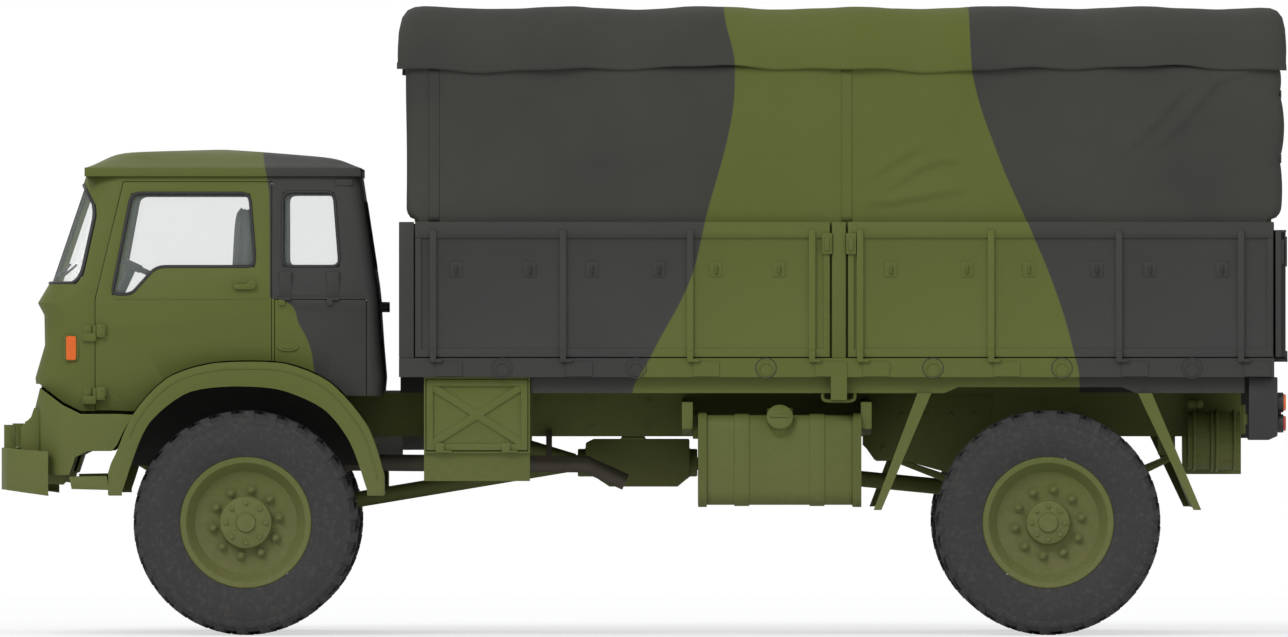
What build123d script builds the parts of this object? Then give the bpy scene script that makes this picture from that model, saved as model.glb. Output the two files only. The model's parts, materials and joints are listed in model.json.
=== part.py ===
"""Forward-control 4x4 military cargo truck with drop sides and a canvas tilt.

X runs rearwards, Y to the truck's right-hand side and Z up, in millimetres.
The origin is on the ground, at the middle of the truck's length and width.
Along the truck, places are measured from the front axle, the rear axle or the front of the load body.
Heights are measured from the top of the chassis frame or from the axles.
"""

import os
from math import cos, degrees, pi, radians, sin, tan

from build123d import *

os.makedirs("parts", exist_ok=True)

# ---- overall ----
WHEELBASE = 4015.0
FRONT_OVERHANG = 1226.0  # front axle to bumper face
REAR_OVERHANG = 1201.0  # rear axle to the tailboard's hinges
TRACK = 2050.0
SEAT_GAP = 0.3  # between pieces that rest on each other
SHUT_GAP = 7.0  # round a door, flap or board

# ---- wheels ----
TYRE_R = 564.0
TYRE_WIDTH = 320.0
TREAD_WIDTH = 256.0
SHOULDER_R = 520.0
BEAD_R = 330.0  # where the tyre meets the rim
RIM_WIDTH = 266.0
RIM_LIP_R = 292.0
DISC_R = 262.0
DISC_FACE = 62.0  # outboard of the wheel's middle plane
DISC_T = 16.0
BARREL_T = 16.0
HUB_R = {"front": 131.0, "rear": 110.0}
HUB_FACE = 116.0
HUB_NOSE = (20.0, 12.0)  # radius and length
SIDEWALL_LIP = 15.0

# ---- axles and steering ----
KINGPIN_Y = 790.0
KINGPIN_R = 50.0
KNUCKLE_HALF = 130.0  # half height of the kingpin housing
FORK_HALF = 45.0  # half width of the axle's fork, and its reach past the kingpin
STEER_ARM = 250.0  # kingpin to track rod pin, forwards
ARM_HALF = 22.0
ARM_T = 24.0
TRACK_ROD_R = 19.0
DRUM_R = 205.0
DRUM_IN = 60.0  # inboard of the wheel's middle plane
AXLE_TUBE_R = 62.0
DIFF_R = 165.0
DIFF_HALF = 110.0
PINION_R = 75.0
SHAFT_R = 40.0

# ---- chassis frame ----
FRAME_RISE = 648.0  # axle centre to the top of the frame
RAIL_DEPTH = 220.0
RAIL_HALF = 430.0  # outer face of each rail
RAIL_FLANGE = 75.0
RAIL_T = 9.0
RAIL_NOSE = 1030.0  # ahead of the front axle
RAIL_TAIL = 981.0  # behind the rear axle
CROSS_WIDTH = 90.0
LEAF_WIDTH = 70.0
LEAF_PACK = 80.0
SPRING_Y = 392.0

# ---- cab ----
CAB_WALL = 45.0
CAB_BACK_RADIUS = 60.0
CAB_NOSE_RADIUS = 170.0
CAB_LIFT = 8.0  # cab floor above the frame
FLOOR_SHEET = 12.0
GLASS_T = 6.0
GLASS_INSET = 16.0
GUARD_HALF = 1215.0  # outer face of the front mudguards
CAB_INSET = 120.0  # widest part of the cab inside the mudguards
BUMPER_INSET = 15.0  # bumper's ends inside the mudguards
GUARD_T = 6.0
WELL_Y = 545.0  # inner side of each wheel well
SHEET = 8.0
DOOR_SWING_Y = 8.0  # hinge axis outside the cab's side
DOOR_SWEEP = 20.0
DOOR_SKIN = 33.0
HINGE_R = 9.0
CAB_BACK_X = 640.0  # back wall's middle behind the front axle

# ---- load body ----
BODY_SETBACK = 767.0  # front axle to the front of the load body
BODY_HALF = 1225.0
SUBFRAME = 80.0  # longitudinal runners on the frame
BEARERS = 55.0  # cross bearers on the runners
BEARER_COUNT = 7
FLOOR_T = 40.0
SIDE_HEIGHT = 675.0
SIDE_T = 40.0
RIB_PROUD = 10.0
RIB_WIDTH = 32.0
BOARD_GAP = 6.0
POST_WIDTH = 80.0
CORNER_POST = 75.0
TAIL_T = 28.0
TAIL_RIB = 26.0
TAIL_HEIGHT = 635.0
HINGE_DROP = 12.0  # board hinges below the floor's top
SKIRT_INSET = 60.0  # side skirt inside the body's side
SKIRT_T = 60.0

# ---- tilt ----
TILT_RISE = 1093.0  # above the top of the sides
EAVES_RISE = 761.0
CANVAS_T = 20.0
CURTAIN_INSET = 47.0  # tilt's curtain inside the body's side
TILT_ROOF_INSET = 17.0  # tilt's roof inside the body's side
HOOP = 34.0

# ---- tank, lockers and air reservoirs ----
TANK = (810.0, 590.0, 450.0)  # length, width, depth
TANK_CORNER = 70.0
TANK_BAND = 6.0  # straps stand proud
TANK_BANDS = ((178, 74), (555, 74))  # start behind the tank's front end, width
TANK_TOP = 110.0  # below the frame's top
TANK_REACH = 1748.0  # its front end ahead of the rear axle
LOCKER = (530.0, 430.0, 380.0)
LOCKER_SETBACK = 125.0
DOOR_RIM = 45.0  # locker door's frame, with the locker's edge
DOOR_RECESS = 11.0
BRACE = 26.0  # each leg of the crossed brace's corners
LOCKER_INSET = 35.0  # locker's face inside the body's side
RESERVOIR_R = 145.0
RESERVOIR_LENGTH = 265.0
SPLASH_FLANGE = 62  # width of the turned outer edge of a rear splash plate

LENGTH = FRONT_OVERHANG + WHEELBASE + REAR_OVERHANG
XF = FRONT_OVERHANG - LENGTH / 2
XR = XF + WHEELBASE
X_REAR = LENGTH / 2
AXLE_Z = TYRE_R
WHEEL_Y = TRACK / 2
FRAME_Z = AXLE_Z + FRAME_RISE
RAIL_BOTTOM = FRAME_Z - RAIL_DEPTH
RAIL_X0 = XF - RAIL_NOSE
RAIL_X1 = XR + RAIL_TAIL
BEARER_Z = FRAME_Z + SUBFRAME
DECK_Z = BEARER_Z + BEARERS
FLOOR_Z = DECK_Z + FLOOR_T
HINGE_Z = FLOOR_Z - HINGE_DROP
BOARD_HINGE_Y = BODY_HALF + RIB_PROUD + 3
TAIL_AXIS_X = X_REAR - HINGE_R
TAIL_X0 = TAIL_AXIS_X - 3 - TAIL_RIB - TAIL_T
BODY_X0 = XF + BODY_SETBACK
BODY_X1 = TAIL_X0 - BOARD_GAP
SIDE_Z0 = FLOOR_Z + BOARD_GAP
SIDE_Z1 = SIDE_Z0 + SIDE_HEIGHT
CAB_HALF = GUARD_HALF - CAB_INSET
SKIRT_Y = BODY_HALF - SKIRT_INSET
CURTAIN_HALF = BODY_HALF - CURTAIN_INSET
TILT_ROOF_HALF = BODY_HALF - TILT_ROOF_INSET
LOCKER_OUT = BODY_HALF - LOCKER_INSET


# ---- forms ----
# Round pieces and rounded corners are drawn with flats, which keeps the whole truck's mesh light.
ROUNDS = ((45.0, 8), (140.0, 12), (240.0, 16))  # up to this radius, this many flats
LARGE_ROUND = 24
SMALL_CORNER = (60.0, 1)  # below this radius, this many flats
LARGE_CORNER = 3


def flats(radius):
    """How many flats a round piece of a radius has. Always a multiple of four, with one at the bottom."""
    for limit, count in ROUNDS:
        if radius < limit:
            return count
    return LARGE_ROUND


def plate(radius):
    """A round face whose flats lie at the radius."""
    count = flats(radius)
    return RegularPolygon(radius, count, major_radius=False, rotation=180 / count)


def rounded(points, radii):
    """The corner points of an outline, with each corner turned into an arc of flats."""
    drawn = []
    for place, point in enumerate(points):
        radius = radii[place] if isinstance(radii, (list, tuple)) else radii
        here = Vector(*point)
        back = (Vector(*points[place - 1]) - here).normalized()
        ahead = (Vector(*points[(place + 1) % len(points)]) - here).normalized()
        half = radians(back.get_angle(ahead)) / 2
        centre = here + (back + ahead).normalized() * (radius / sin(half))
        start = here + back * (radius / tan(half))
        turn = 180 - 2 * degrees(half)
        if back.cross(ahead).Z > 0:
            turn = -turn
        count = SMALL_CORNER[1] if radius < SMALL_CORNER[0] else LARGE_CORNER
        for step in range(count + 1):
            swung = centre + (start - centre).rotate(Axis.Z, turn * step / count)
            drawn.append((swung.X, swung.Y))
    return drawn


def outline(points, radii=0):
    """A flat face from corner points, with its corners rounded where radii are given."""
    return make_face(Polyline(*(rounded(points, radii) if radii else points), close=True))


def along_y(points, y0, y1, radii=0):
    """A prism from an (x, z) outline."""
    plane = Plane(origin=(0, max(y0, y1), 0), x_dir=(1, 0, 0), z_dir=(0, -1, 0))
    return extrude(plane * outline(points, radii), abs(y1 - y0))


def along_x(points, x0, x1, radii=0):
    """A prism from a (y, z) outline."""
    plane = Plane(origin=(min(x0, x1), 0, 0), x_dir=(0, 1, 0), z_dir=(1, 0, 0))
    return extrude(plane * outline(points, radii), abs(x1 - x0))


def along_z(points, z0, z1, radii=0):
    """A prism from an (x, y) outline."""
    return extrude(Pos(0, 0, min(z0, z1)) * outline(points, radii), abs(z1 - z0))


def block(x0, x1, y0, y1, z0, z1):
    middle = Pos((x0 + x1) / 2, (y0 + y1) / 2, (z0 + z1) / 2)
    return middle * Box(abs(x1 - x0), abs(y1 - y0), abs(z1 - z0))


def bar(a, b, r):
    """A round bar from point a to point b."""
    run = Vector(*b) - Vector(*a)
    return extrude(Plane(origin=a, z_dir=run) * plate(r), run.length)


def drum_x(y, z, r, x0, x1):
    return extrude(Plane(origin=(min(x0, x1), y, z), x_dir=(0, 1, 0), z_dir=(1, 0, 0)) * plate(r),
                   abs(x1 - x0))


def drum_y(x, z, r, y0, y1):
    return extrude(Plane(origin=(x, min(y0, y1), z), x_dir=(1, 0, 0), z_dir=(0, 1, 0)) * plate(r),
                   abs(y1 - y0))


def drum_z(x, y, r, z0, z1):
    return extrude(Pos(x, y, min(z0, z1)) * plate(r), abs(z1 - z0))


def pin_y(x, z, r, y0, y1):
    """A true cylinder across the truck, for what turns."""
    return Pos(x, (y0 + y1) / 2, z) * Rot(90, 0, 0) * Cylinder(r, abs(y1 - y0))


def pin_z(x, y, r, z0, z1):
    """A true upright cylinder, for what turns."""
    return Pos(x, y, (z0 + z1) / 2) * Cylinder(r, abs(z1 - z0))


def right(shape):
    """The right-hand twin of a left-hand piece."""
    return mirror(shape, about=Plane.XZ)


def both(shape):
    return [shape, right(shape)]


def from_front_axle(points):
    """Points given behind the front axle and above the frame."""
    return [(XF + x, FRAME_Z + z) for x, z in points]


def skin(rings, closed=False):
    """A solid with flat faces between rings of points, capped at both ends or closed on itself."""
    caps = [] if closed else [Face(Wire.make_polygon(ring)) for ring in (rings[0], rings[-1])]
    faces = []
    for low, high in zip(rings, rings[1:] + rings[:1] if closed else rings[1:]):
        for place in range(len(low)):
            after = (place + 1) % len(low)
            faces.append(Face(Wire.make_polygon([low[place], low[after], high[after], high[place]])))
    return Solid(Shell(caps + faces))


def piece(name, *shapes):
    """Writes one sub-part. Several shapes stay separate solids."""
    solids = [solid for shape in shapes for solid in shape.solids()]
    export_step(solids[0] if len(solids) == 1 else Compound(solids), f"parts/{name}.step")


def pair(name, shape):
    piece(f"{name}_left", shape)
    piece(f"{name}_right", right(shape))


# ---- wheels ----
def turned(x, side, profile, closed=False):
    """A round solid across the truck, flat by flat, through (outboard of the wheel's middle, radius) places."""
    rings = []
    for out, radius in profile:
        corner = radius / cos(pi / LARGE_ROUND)
        ring = []
        for count in range(LARGE_ROUND):
            angle = (count + 0.5) * 2 * pi / LARGE_ROUND
            ring.append((x + corner * cos(angle), side * (WHEEL_Y + out), AXLE_Z + corner * sin(angle)))
        rings.append(ring)
    return skin(rings, closed)


def tyre(x, side):
    """Tyre with chamfered shoulders and sidewalls that draw in to the bead."""
    half = TYRE_WIDTH / 2
    tread = TREAD_WIDTH / 2
    bead = RIM_WIDTH / 2
    lip = SHOULDER_R - SIDEWALL_LIP
    profile = [(-half, SHOULDER_R), (-tread, TYRE_R), (tread, TYRE_R), (half, SHOULDER_R), (half, lip),
               (bead, BEAD_R), (-bead, BEAD_R), (-half, lip)]
    return turned(x, side, profile, closed=True)


def wheel(x, side, hub_r):
    """Pressed wheel and hub: an outer lip, a dished disc and a barrel open to the back."""
    half = RIM_WIDTH / 2
    barrel = BEAD_R - SEAT_GAP
    disc = turned(x, side, [(DISC_FACE - DISC_T, DISC_R), (-half, barrel - BARREL_T), (-half, barrel),
                            (half, barrel), (half, RIM_LIP_R), (DISC_FACE, DISC_R)])
    y = side * WHEEL_Y
    disc += drum_y(x, AXLE_Z, hub_r, y + side * (DISC_FACE - 1), y + side * HUB_FACE)
    disc += pin_y(x, AXLE_Z, HUB_NOSE[0], y + side * (HUB_FACE - 1), y + side * (HUB_FACE + HUB_NOSE[1]))
    return disc


def make_wheels():
    for place, x, side in (("front_left", XF, -1), ("front_right", XF, 1),
                           ("rear_left", XR, -1), ("rear_right", XR, 1)):
        end = place.split("_")[0]
        piece(f"tyre_{place}", tyre(x, side))
        piece(f"wheel_{place}", wheel(x, side, HUB_R[end]))


# ---- axles and steering ----
DRUM_OUT = DISC_FACE - DISC_T - SEAT_GAP
ROD_Z = AXLE_Z - AXLE_TUBE_R - 30
FORK_IN = KINGPIN_Y - KINGPIN_R - 12
FORK_T = 30.0
KINGPIN_NOSE = (25.0, 6.0)  # radius and height of the round end under the fork
ROD_END = 22.0  # track rod past its pins
ROD_BALL = 15.0


def axle_tube(x, half, nose_x, nose_z):
    """Axle tube with a round differential and the pinion's nose."""
    tube = drum_y(x, AXLE_Z, AXLE_TUBE_R, -half, half)
    case = drum_y(x, AXLE_Z, DIFF_R, -DIFF_HALF, DIFF_HALF)
    nose = bar((x, 0, AXLE_Z), (nose_x, 0, nose_z), PINION_R)
    facing = block(nose_x, nose_x + 400 * (1 if nose_x > x else -1), -DIFF_R, DIFF_R, AXLE_Z - DIFF_R,
                   nose_z + DIFF_R)
    return tube + case + (nose - facing)


def knuckle():
    """Left steered hub carrier: kingpin housing, brake drum and the arm to the track rod."""
    top = AXLE_Z + KNUCKLE_HALF
    post = drum_z(XF, -KINGPIN_Y, KINGPIN_R, AXLE_Z - KNUCKLE_HALF, top - KINGPIN_NOSE[1])
    post += pin_z(XF, -KINGPIN_Y, KINGPIN_NOSE[0], top - KINGPIN_NOSE[1] - 1, top)
    neck = drum_y(XF, AXLE_Z, 85, -KINGPIN_Y, -WHEEL_Y + DRUM_IN)
    brake = drum_y(XF, AXLE_Z, DRUM_R, -WHEEL_Y + DRUM_IN, -WHEEL_Y - DRUM_OUT)
    arm_z = ROD_Z + TRACK_ROD_R + SEAT_GAP
    arm = block(XF, XF - STEER_ARM - ROD_END, -KINGPIN_Y - ARM_HALF, -KINGPIN_Y + ARM_HALF, arm_z,
                arm_z + ARM_T)
    return post + neck + brake + arm


def make_axles():
    front = axle_tube(XF, FORK_IN, XF + 190, AXLE_Z + 48)
    fork_top = KNUCKLE_HALF + SEAT_GAP
    for side in (-1, 1):
        inner = side * (FORK_IN - 50)
        front += block(XF - FORK_HALF, XF + FORK_HALF, inner, side * FORK_IN, AXLE_Z - fork_top - FORK_T,
                       AXLE_Z + fork_top + FORK_T)
        for z0 in (AXLE_Z + fork_top, AXLE_Z - fork_top - FORK_T):
            front += block(XF - FORK_HALF, XF + FORK_HALF, inner, side * (KINGPIN_Y + FORK_HALF), z0,
                           z0 + FORK_T)
    piece("front_axle", front)
    rear = axle_tube(XR, WHEEL_Y - DRUM_IN, XR - 300, AXLE_Z + 150)
    for side in (-1, 1):
        rear += drum_y(XR, AXLE_Z, DRUM_R, side * (WHEEL_Y - DRUM_IN), side * (WHEEL_Y + DRUM_OUT))
    piece("rear_axle", rear)
    pair("knuckle", knuckle())
    rod_x = XF - STEER_ARM
    rod_end = KINGPIN_Y + ROD_END
    rod = drum_y(rod_x, ROD_Z, TRACK_ROD_R, -rod_end, rod_end)
    for side in (-1, 1):
        rod += drum_z(rod_x, side * KINGPIN_Y, ROD_BALL, ROD_Z - TRACK_ROD_R - 8, ROD_Z)
    piece("track_rod", rod)


# ---- springs and driveline ----
def leaf_spring(x, ahead, behind, eye, pack):
    """A semi-elliptic pack under the frame, its short leaves stepped below the long ones."""
    seat = AXLE_Z + AXLE_TUBE_R + SEAT_GAP
    sag = eye - seat - pack
    shape = [(x - ahead, eye), (x - ahead, eye - 24), (x - ahead * 0.6, eye - 24 - sag * 0.75),
             (x - 140, seat),
             (x + 140, seat), (x + behind * 0.6, eye - 24 - sag * 0.75), (x + behind, eye - 24),
             (x + behind, eye),
             (x + behind * 0.5, eye - sag * 0.8), (x, seat + pack), (x - ahead * 0.5, eye - sag * 0.8)]
    return along_y(shape, -SPRING_Y - LEAF_WIDTH / 2, -SPRING_Y + LEAF_WIDTH / 2)


EYE_Z = RAIL_BOTTOM - 95
FRONT_SPAN = (600.0, 600.0)
REAR_SPAN = (790.0, 640.0)


def hanger(x, width):
    """A plate under the rail that holds a spring's end."""
    return block(x - width / 2, x + width / 2, -SPRING_Y - LEAF_WIDTH / 2, -SPRING_Y + LEAF_WIDTH / 2,
                 EYE_Z + SEAT_GAP, RAIL_BOTTOM)


def make_springs():
    front = leaf_spring(XF, *FRONT_SPAN, EYE_Z, LEAF_PACK)
    rear = leaf_spring(XR, *REAR_SPAN, EYE_Z, LEAF_PACK + 25)
    piece("leaf_springs", *both(front), *both(rear))


def shaft(start, end, clear):
    """A propeller shaft between two flanges, from (x, z) to (x, z), with a square-ended joint at each."""
    a = Vector(start[0], 0, start[1])
    b = Vector(end[0], 0, end[1])
    run = (b - a).normalized()
    tube = bar(tuple(a + run * clear), tuple(b - run * clear), SHAFT_R)
    for end_point, reach in ((a, run * (clear + 5)), (b, run * -(clear + 5))):
        yoke_x = end_point.X + reach.X
        tube += drum_x(0, end_point.Z + reach.Z, SHAFT_R - 8, min(end_point.X, yoke_x), max(end_point.X,
                                                                                            yoke_x))
    return tube


TRANSFER_X = (XR - 2317, XR - 1793)
TRANSFER_HALF = 150.0
TRANSFER_TOP = RAIL_BOTTOM - 15
ENGINE_X = (XF - 225, XF + 595)
ENGINE_HALF = 265.0
ENGINE_BOTTOM = FRAME_Z - 335


def make_driveline():
    x0, x1 = TRANSFER_X
    box = along_y([(x0, TRANSFER_TOP - 20), (x0 + 40, TRANSFER_TOP), (x1, TRANSFER_TOP),
                   (x1, TRANSFER_TOP - 190),
                   (x1 - 60, TRANSFER_TOP - 240), (x0 + 120, TRANSFER_TOP - 240), (x0, TRANSFER_TOP - 160)],
                  -TRANSFER_HALF, TRANSFER_HALF)
    box += drum_x(0, TRANSFER_TOP - 120, 70, x0 - 40, x1 + 40)
    box += block(x0 + 180, x0 + 300, -RAIL_HALF + RAIL_FLANGE, RAIL_HALF - RAIL_FLANGE, TRANSFER_TOP,
                 RAIL_BOTTOM)
    piece("transfer_box", box)
    x0, x1 = ENGINE_X
    engine = along_x([(-ENGINE_HALF, ENGINE_BOTTOM + 260), (-150, ENGINE_BOTTOM), (150, ENGINE_BOTTOM),
                      (ENGINE_HALF, ENGINE_BOTTOM + 260), (ENGINE_HALF, FRAME_Z + 200),
                      (170, FRAME_Z + 400),
                      (-170, FRAME_Z + 400), (-ENGINE_HALF, FRAME_Z + 200)], x0, x1)
    engine += drum_x(0, RAIL_BOTTOM + 60, 170, x1, x1 + 180)
    engine += block(x1 + 180, x1 + 520, -120, 120, RAIL_BOTTOM - 70, RAIL_BOTTOM + 150)
    piece("engine_and_gearbox", engine)
    middle = TRANSFER_TOP - 120
    piece("propshafts",
          shaft((XF + 190, AXLE_Z + 48), (TRANSFER_X[0] - 40, middle), 45),
          shaft((TRANSFER_X[1] + 40, middle), (XR - 300, AXLE_Z + 150), 45),
          shaft((ENGINE_X[1] + 520, RAIL_BOTTOM + 30), (TRANSFER_X[0] - 40, TRANSFER_TOP - 120), 20))


# ---- chassis frame ----
def make_frame():
    web = block(RAIL_X0, RAIL_X1, -RAIL_HALF, -RAIL_HALF + RAIL_T, RAIL_BOTTOM, FRAME_Z)
    for z0 in (RAIL_BOTTOM, FRAME_Z - RAIL_T):
        web += block(RAIL_X0, RAIL_X1, -RAIL_HALF, -RAIL_HALF + RAIL_FLANGE, z0, z0 + RAIL_T)
    for x in (XF - FRONT_SPAN[0] + 25, XF + FRONT_SPAN[1] - 25, XR - REAR_SPAN[0] + 25,
              XR + REAR_SPAN[1] - 25):
        web += hanger(x, 70)
    front = XF - FRONT_OVERHANG + SHEET + SEAT_GAP
    nose = [(RAIL_X0, RAIL_BOTTOM + 60), (front + 80, RAIL_BOTTOM - 30), (front + 80, RAIL_BOTTOM - 80),
            (front, RAIL_BOTTOM - 80), (front, RAIL_BOTTOM - 240), (RAIL_X0 + 60, RAIL_BOTTOM - 240),
            (RAIL_X0 + 220, RAIL_BOTTOM), (RAIL_X0 + 220, RAIL_BOTTOM + 60)]
    web += along_y(nose, -RAIL_HALF, -RAIL_HALF + RAIL_T)
    frame = web + right(web)
    inner = RAIL_HALF - RAIL_T
    for x in (XF - 900, XF + CAB_BACK_X - 30):
        for side in (-1, 1):
            frame += block(x, x + 50, side * (RAIL_HALF - 70), side * RAIL_HALF, FRAME_Z - RAIL_T,
                           FRAME_Z + CAB_LIFT - SEAT_GAP)
    for x in (RAIL_X0 + 60, ENGINE_X[1] + 540, TRANSFER_X[0] - 330, TRANSFER_X[1] + 60, XR - 500, XR + 420,
              RAIL_X1 - CROSS_WIDTH):
        frame += block(x, x + CROSS_WIDTH, -inner, inner, FRAME_Z - 95, FRAME_Z - RAIL_T)
    piece("chassis_frame", frame)


# ---- cab ----
CAB_SECTIONS = (
    # height above the frame, front and rear face behind the front axle, half width drawn in from CAB_HALF
    (-90, -1040, 672, 27),
    (75, -1058, 686, 15),
    (240, -1010, 672, 5),
    (390, -1013, 662, 3),
    (450, -1045, 660, 0),
    (540, -992, 650, 10),
    (1085, -806, 567, 110),
)
BEYOND = CAB_HALF + 205  # outside everything on the cab
PILLAR = 22.0  # half of the post between the windscreen's panes
WAIST = 470.0
GUTTER = 1085.0


def cab_solid(inset):
    """The cab's outer form, or the same drawn in by a wall, as straight panels between level sections."""
    rings = []
    nose = CAB_NOSE_RADIUS - inset
    back = max(CAB_BACK_RADIUS - inset, 5)
    for height, front, rear, drawn_in in CAB_SECTIONS:
        x0 = XF + front + inset
        x1 = XF + rear - inset
        y = CAB_HALF - drawn_in - inset
        level = rounded([(x0, -y), (x1, -y), (x1, y), (x0, y)], [nose, back, back, nose])
        rings.append([(*point, FRAME_Z + height) for point in level])
    return skin(rings)


# The arch over a front wheel: angle from straight ahead, gap outside the tyre's tread.
ARCH_INNER = ((14, 73), (27, 75), (45, 138), (66, 160), (84, 121), (104, 128), (125, 135), (142, 100),
              (165, 65))
ARCH_CORNER = 55.0
ARCH_OUTER = ((14, 145), (24, 160), (43, 222), (62, 272), (79, 252), (104, 262), (121, 264), (142, 220),
              (161, 170))


def arch(table, grow, foot):
    """A wheel arch as a closed (x, z) outline, its foot straight down from both ends."""
    points = []
    for angle, gap in table:
        reach = TYRE_R + gap + grow
        points.append((XF - reach * cos(radians(angle)), AXLE_Z + reach * sin(radians(angle))))
    points.append((points[-1][0], AXLE_Z + foot))
    points.append((points[0][0], AXLE_Z + foot))
    return points


def arch_prism(table, grow, foot, y0, y1):
    points = arch(table, grow, foot)
    return along_y(points, y0, y1, [25] + [ARCH_CORNER] * (len(points) - 4) + [25, 5, 5])


def door_clearance():
    """What the left door's lower edge leaves free inside its skin, to swing out over the mudguard."""
    return arch_prism(ARCH_OUTER, SHUT_GAP + DOOR_SWEEP, 0, -CAB_HALF + DOOR_SKIN, 0)


DOOR = ((-757, -90), (-757, 470), (-617, 1060), (130, 1060), (130, -90))
DOOR_WINDOW = ((-672, 490), (-575, 490), (-450, 630), (45, 630), (45, 700), (20, 1000), (-575, 1000))
QUARTER_WINDOW = ((182, 630), (182, 1005), (442, 1005), (472, 630))
FLAP = ((142, -90), (142, 470), (605, 470), (605, -90))
REAR_PANES = ((-620, -120), (120, 620))
SCREEN = ((-1200, 545), (-852, 545), (-812, 590), (-748, 885), (-753, 940), (-812, 1050), (-1200, 1050))


def side_cut(points, gap, side, depth=260):
    """A prism through one side wall of the cab, its outline drawn in (or let out) by a gap."""
    face = make_face(Polyline(*from_front_axle(points), close=True))
    plane = Plane(origin=(0, 0, 0), x_dir=(1, 0, 0), z_dir=(0, -1, 0))
    face = plane * offset(face, gap, kind=Kind.INTERSECTION) if gap else plane * face
    prism = extrude(face, depth)
    return Pos(0, -(CAB_HALF - depth + 40), 0) * prism if side < 0 else Pos(0, CAB_HALF + 40, 0) * prism


def make_cab():
    shell = cab_solid(0) - cab_solid(CAB_WALL)
    hollow = arch_prism(ARCH_OUTER, SHUT_GAP, 0, -BEYOND, BEYOND)
    nose_line = [(-1300, 45), (-1035, 45), (-917, -45), (-827, -90), (-827, -200), (-1300, -200)]
    below = along_y(from_front_axle(nose_line), -BEYOND, BEYOND)
    tail = along_y(from_front_axle([(400, -200), (400, -15), (900, -15), (900, -200)]), -BEYOND, BEYOND)
    shell = shell - hollow - below - tail
    skin = shell
    for side in (-1, 1):
        for hole in (DOOR, FLAP, QUARTER_WINDOW):
            shell -= side_cut(hole, 0, side)
    for side in (-1, 1):
        pane = along_y(from_front_axle(SCREEN), side * PILLAR, side * BEYOND)
        shell -= pane
    for y0, y1 in REAR_PANES:
        shell -= block(XF + 450, XF + 800, y0, y1, FRAME_Z + 620, FRAME_Z + 960)
    for leaf in shell_knuckles():
        shell += leaf
        shell += right(leaf)
    shell -= block(XF + 400, XF + 800, -RAIL_HALF - 20, RAIL_HALF + 20, FRAME_Z - 100, FRAME_Z + CAB_LIFT)
    shell -= block(XF + 400, XF + 800, -ENGINE_HALF - 20, ENGINE_HALF + 20, FRAME_Z - 100, FRAME_Z + 260)
    piece("cab_shell", shell)
    glass_skin = cab_solid(GLASS_INSET) - cab_solid(GLASS_INSET + GLASS_T)
    screens = [glass_skin & along_y(from_front_axle(SCREEN), side * PILLAR, side * BEYOND) for side in (-1,
                                                                                                        1)]
    quarters = [glass_skin & side_cut(QUARTER_WINDOW, 0, side) for side in (-1, 1)]
    backs = [glass_skin & block(XF + 450, XF + 800, y0, y1, FRAME_Z + 620, FRAME_Z + 960)
             for y0, y1 in REAR_PANES]
    piece("cab_glass", *screens, *quarters, *backs)
    make_doors(skin, glass_skin)
    make_flaps(skin)
    make_roof()
    make_cab_inside()


DOOR_AXIS = (XF - 757, -(CAB_HALF + DOOR_SWING_Y))
DOOR_HINGES = (-15, 300)  # middles above the frame
HINGE_LENGTH = 80.0


def make_doors(skin, glass_skin):
    panel = skin & side_cut(DOOR, -SHUT_GAP / 2, -1)
    panel = panel - side_cut(DOOR_WINDOW, 0, -1) - door_clearance()
    x, y = DOOR_AXIS
    for z in DOOR_HINGES:
        z += FRAME_Z
        panel += block(x + 4, x + 60, y, -CAB_HALF + 30, z, z + HINGE_LENGTH / 2) & cab_leaf(-1)
        panel += pin_z(x, y, HINGE_R, z, z + HINGE_LENGTH / 2) + block(x, x + 40, y - 4, y + 4, z,
                                                                       z + HINGE_LENGTH / 2)
    pair("door", panel)
    pane = glass_skin & side_cut(DOOR_WINDOW, 0, -1)
    pair("door_glass", pane)


FLAP_AXIS = (-(CAB_HALF + DOOR_SWING_Y), FRAME_Z + WAIST)
FLAP_HINGES = (XF + 165, XF + 405)


def shell_knuckles():
    """The cab's own halves of the left door's and engine flap's hinges."""
    x, y = DOOR_AXIS
    leaves = []
    for z in DOOR_HINGES:
        z += FRAME_Z
        low = z - HINGE_LENGTH / 2
        leaves.append(drum_z(x, y, HINGE_R, low, z - SEAT_GAP) + block(x - 45, x, y - 4, y + 4, low,
                                                                       z - SEAT_GAP))
        leaves.append(block(x - 60, x - 4, y, -CAB_HALF + 30, low, z - SEAT_GAP) & cab_leaf(-1))
    y, z = FLAP_AXIS
    for x in FLAP_HINGES:
        leaves.append(block(x + 30 + SEAT_GAP, x + 60, y - 5, y + 16, z, z + 5))
        leaves.append(block(x + 30 + SEAT_GAP, x + 60, y - 5, y + 5, z - 5, z + 5))
    return leaves


def cab_leaf(side):
    return block(XF - 2000, XF + 2000, side * BEYOND, side * (CAB_HALF - 95), FRAME_Z - 200,
                 FRAME_Z + 1500) - cab_solid(CAB_WALL)


def make_flaps(skin):
    panel = skin & side_cut(FLAP, -SHUT_GAP / 2, -1)
    y, z = FLAP_AXIS
    for x in FLAP_HINGES:
        panel += block(x, x + 30, y - 5, y + 5, z - 30, z + 5) + block(x, x + 30, y, y + 12, z - 30, z - 12)
    pair("engine_flap", panel)


ROOF_SIDE = ((-810, 1085), (-810, 1128), (-765, 1135), (-672, 1205), (-117, 1225), (495, 1175), (520, 1135),
             (572, 1128), (572, 1085))
ROOF_INSIDE = ((-740, 1080), (-740, 1130), (-660, 1180), (-117, 1200), (470, 1150), (500, 1080))
ROOF_FRONT = (
    # in from CAB_HALF, height above the gutter
    (92, 0), (92, 43), (155, 60), (275, 125), (795, 141),
)
ROOF_HOLLOW = ((165, -5), (165, 45), (285, 105))


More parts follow.
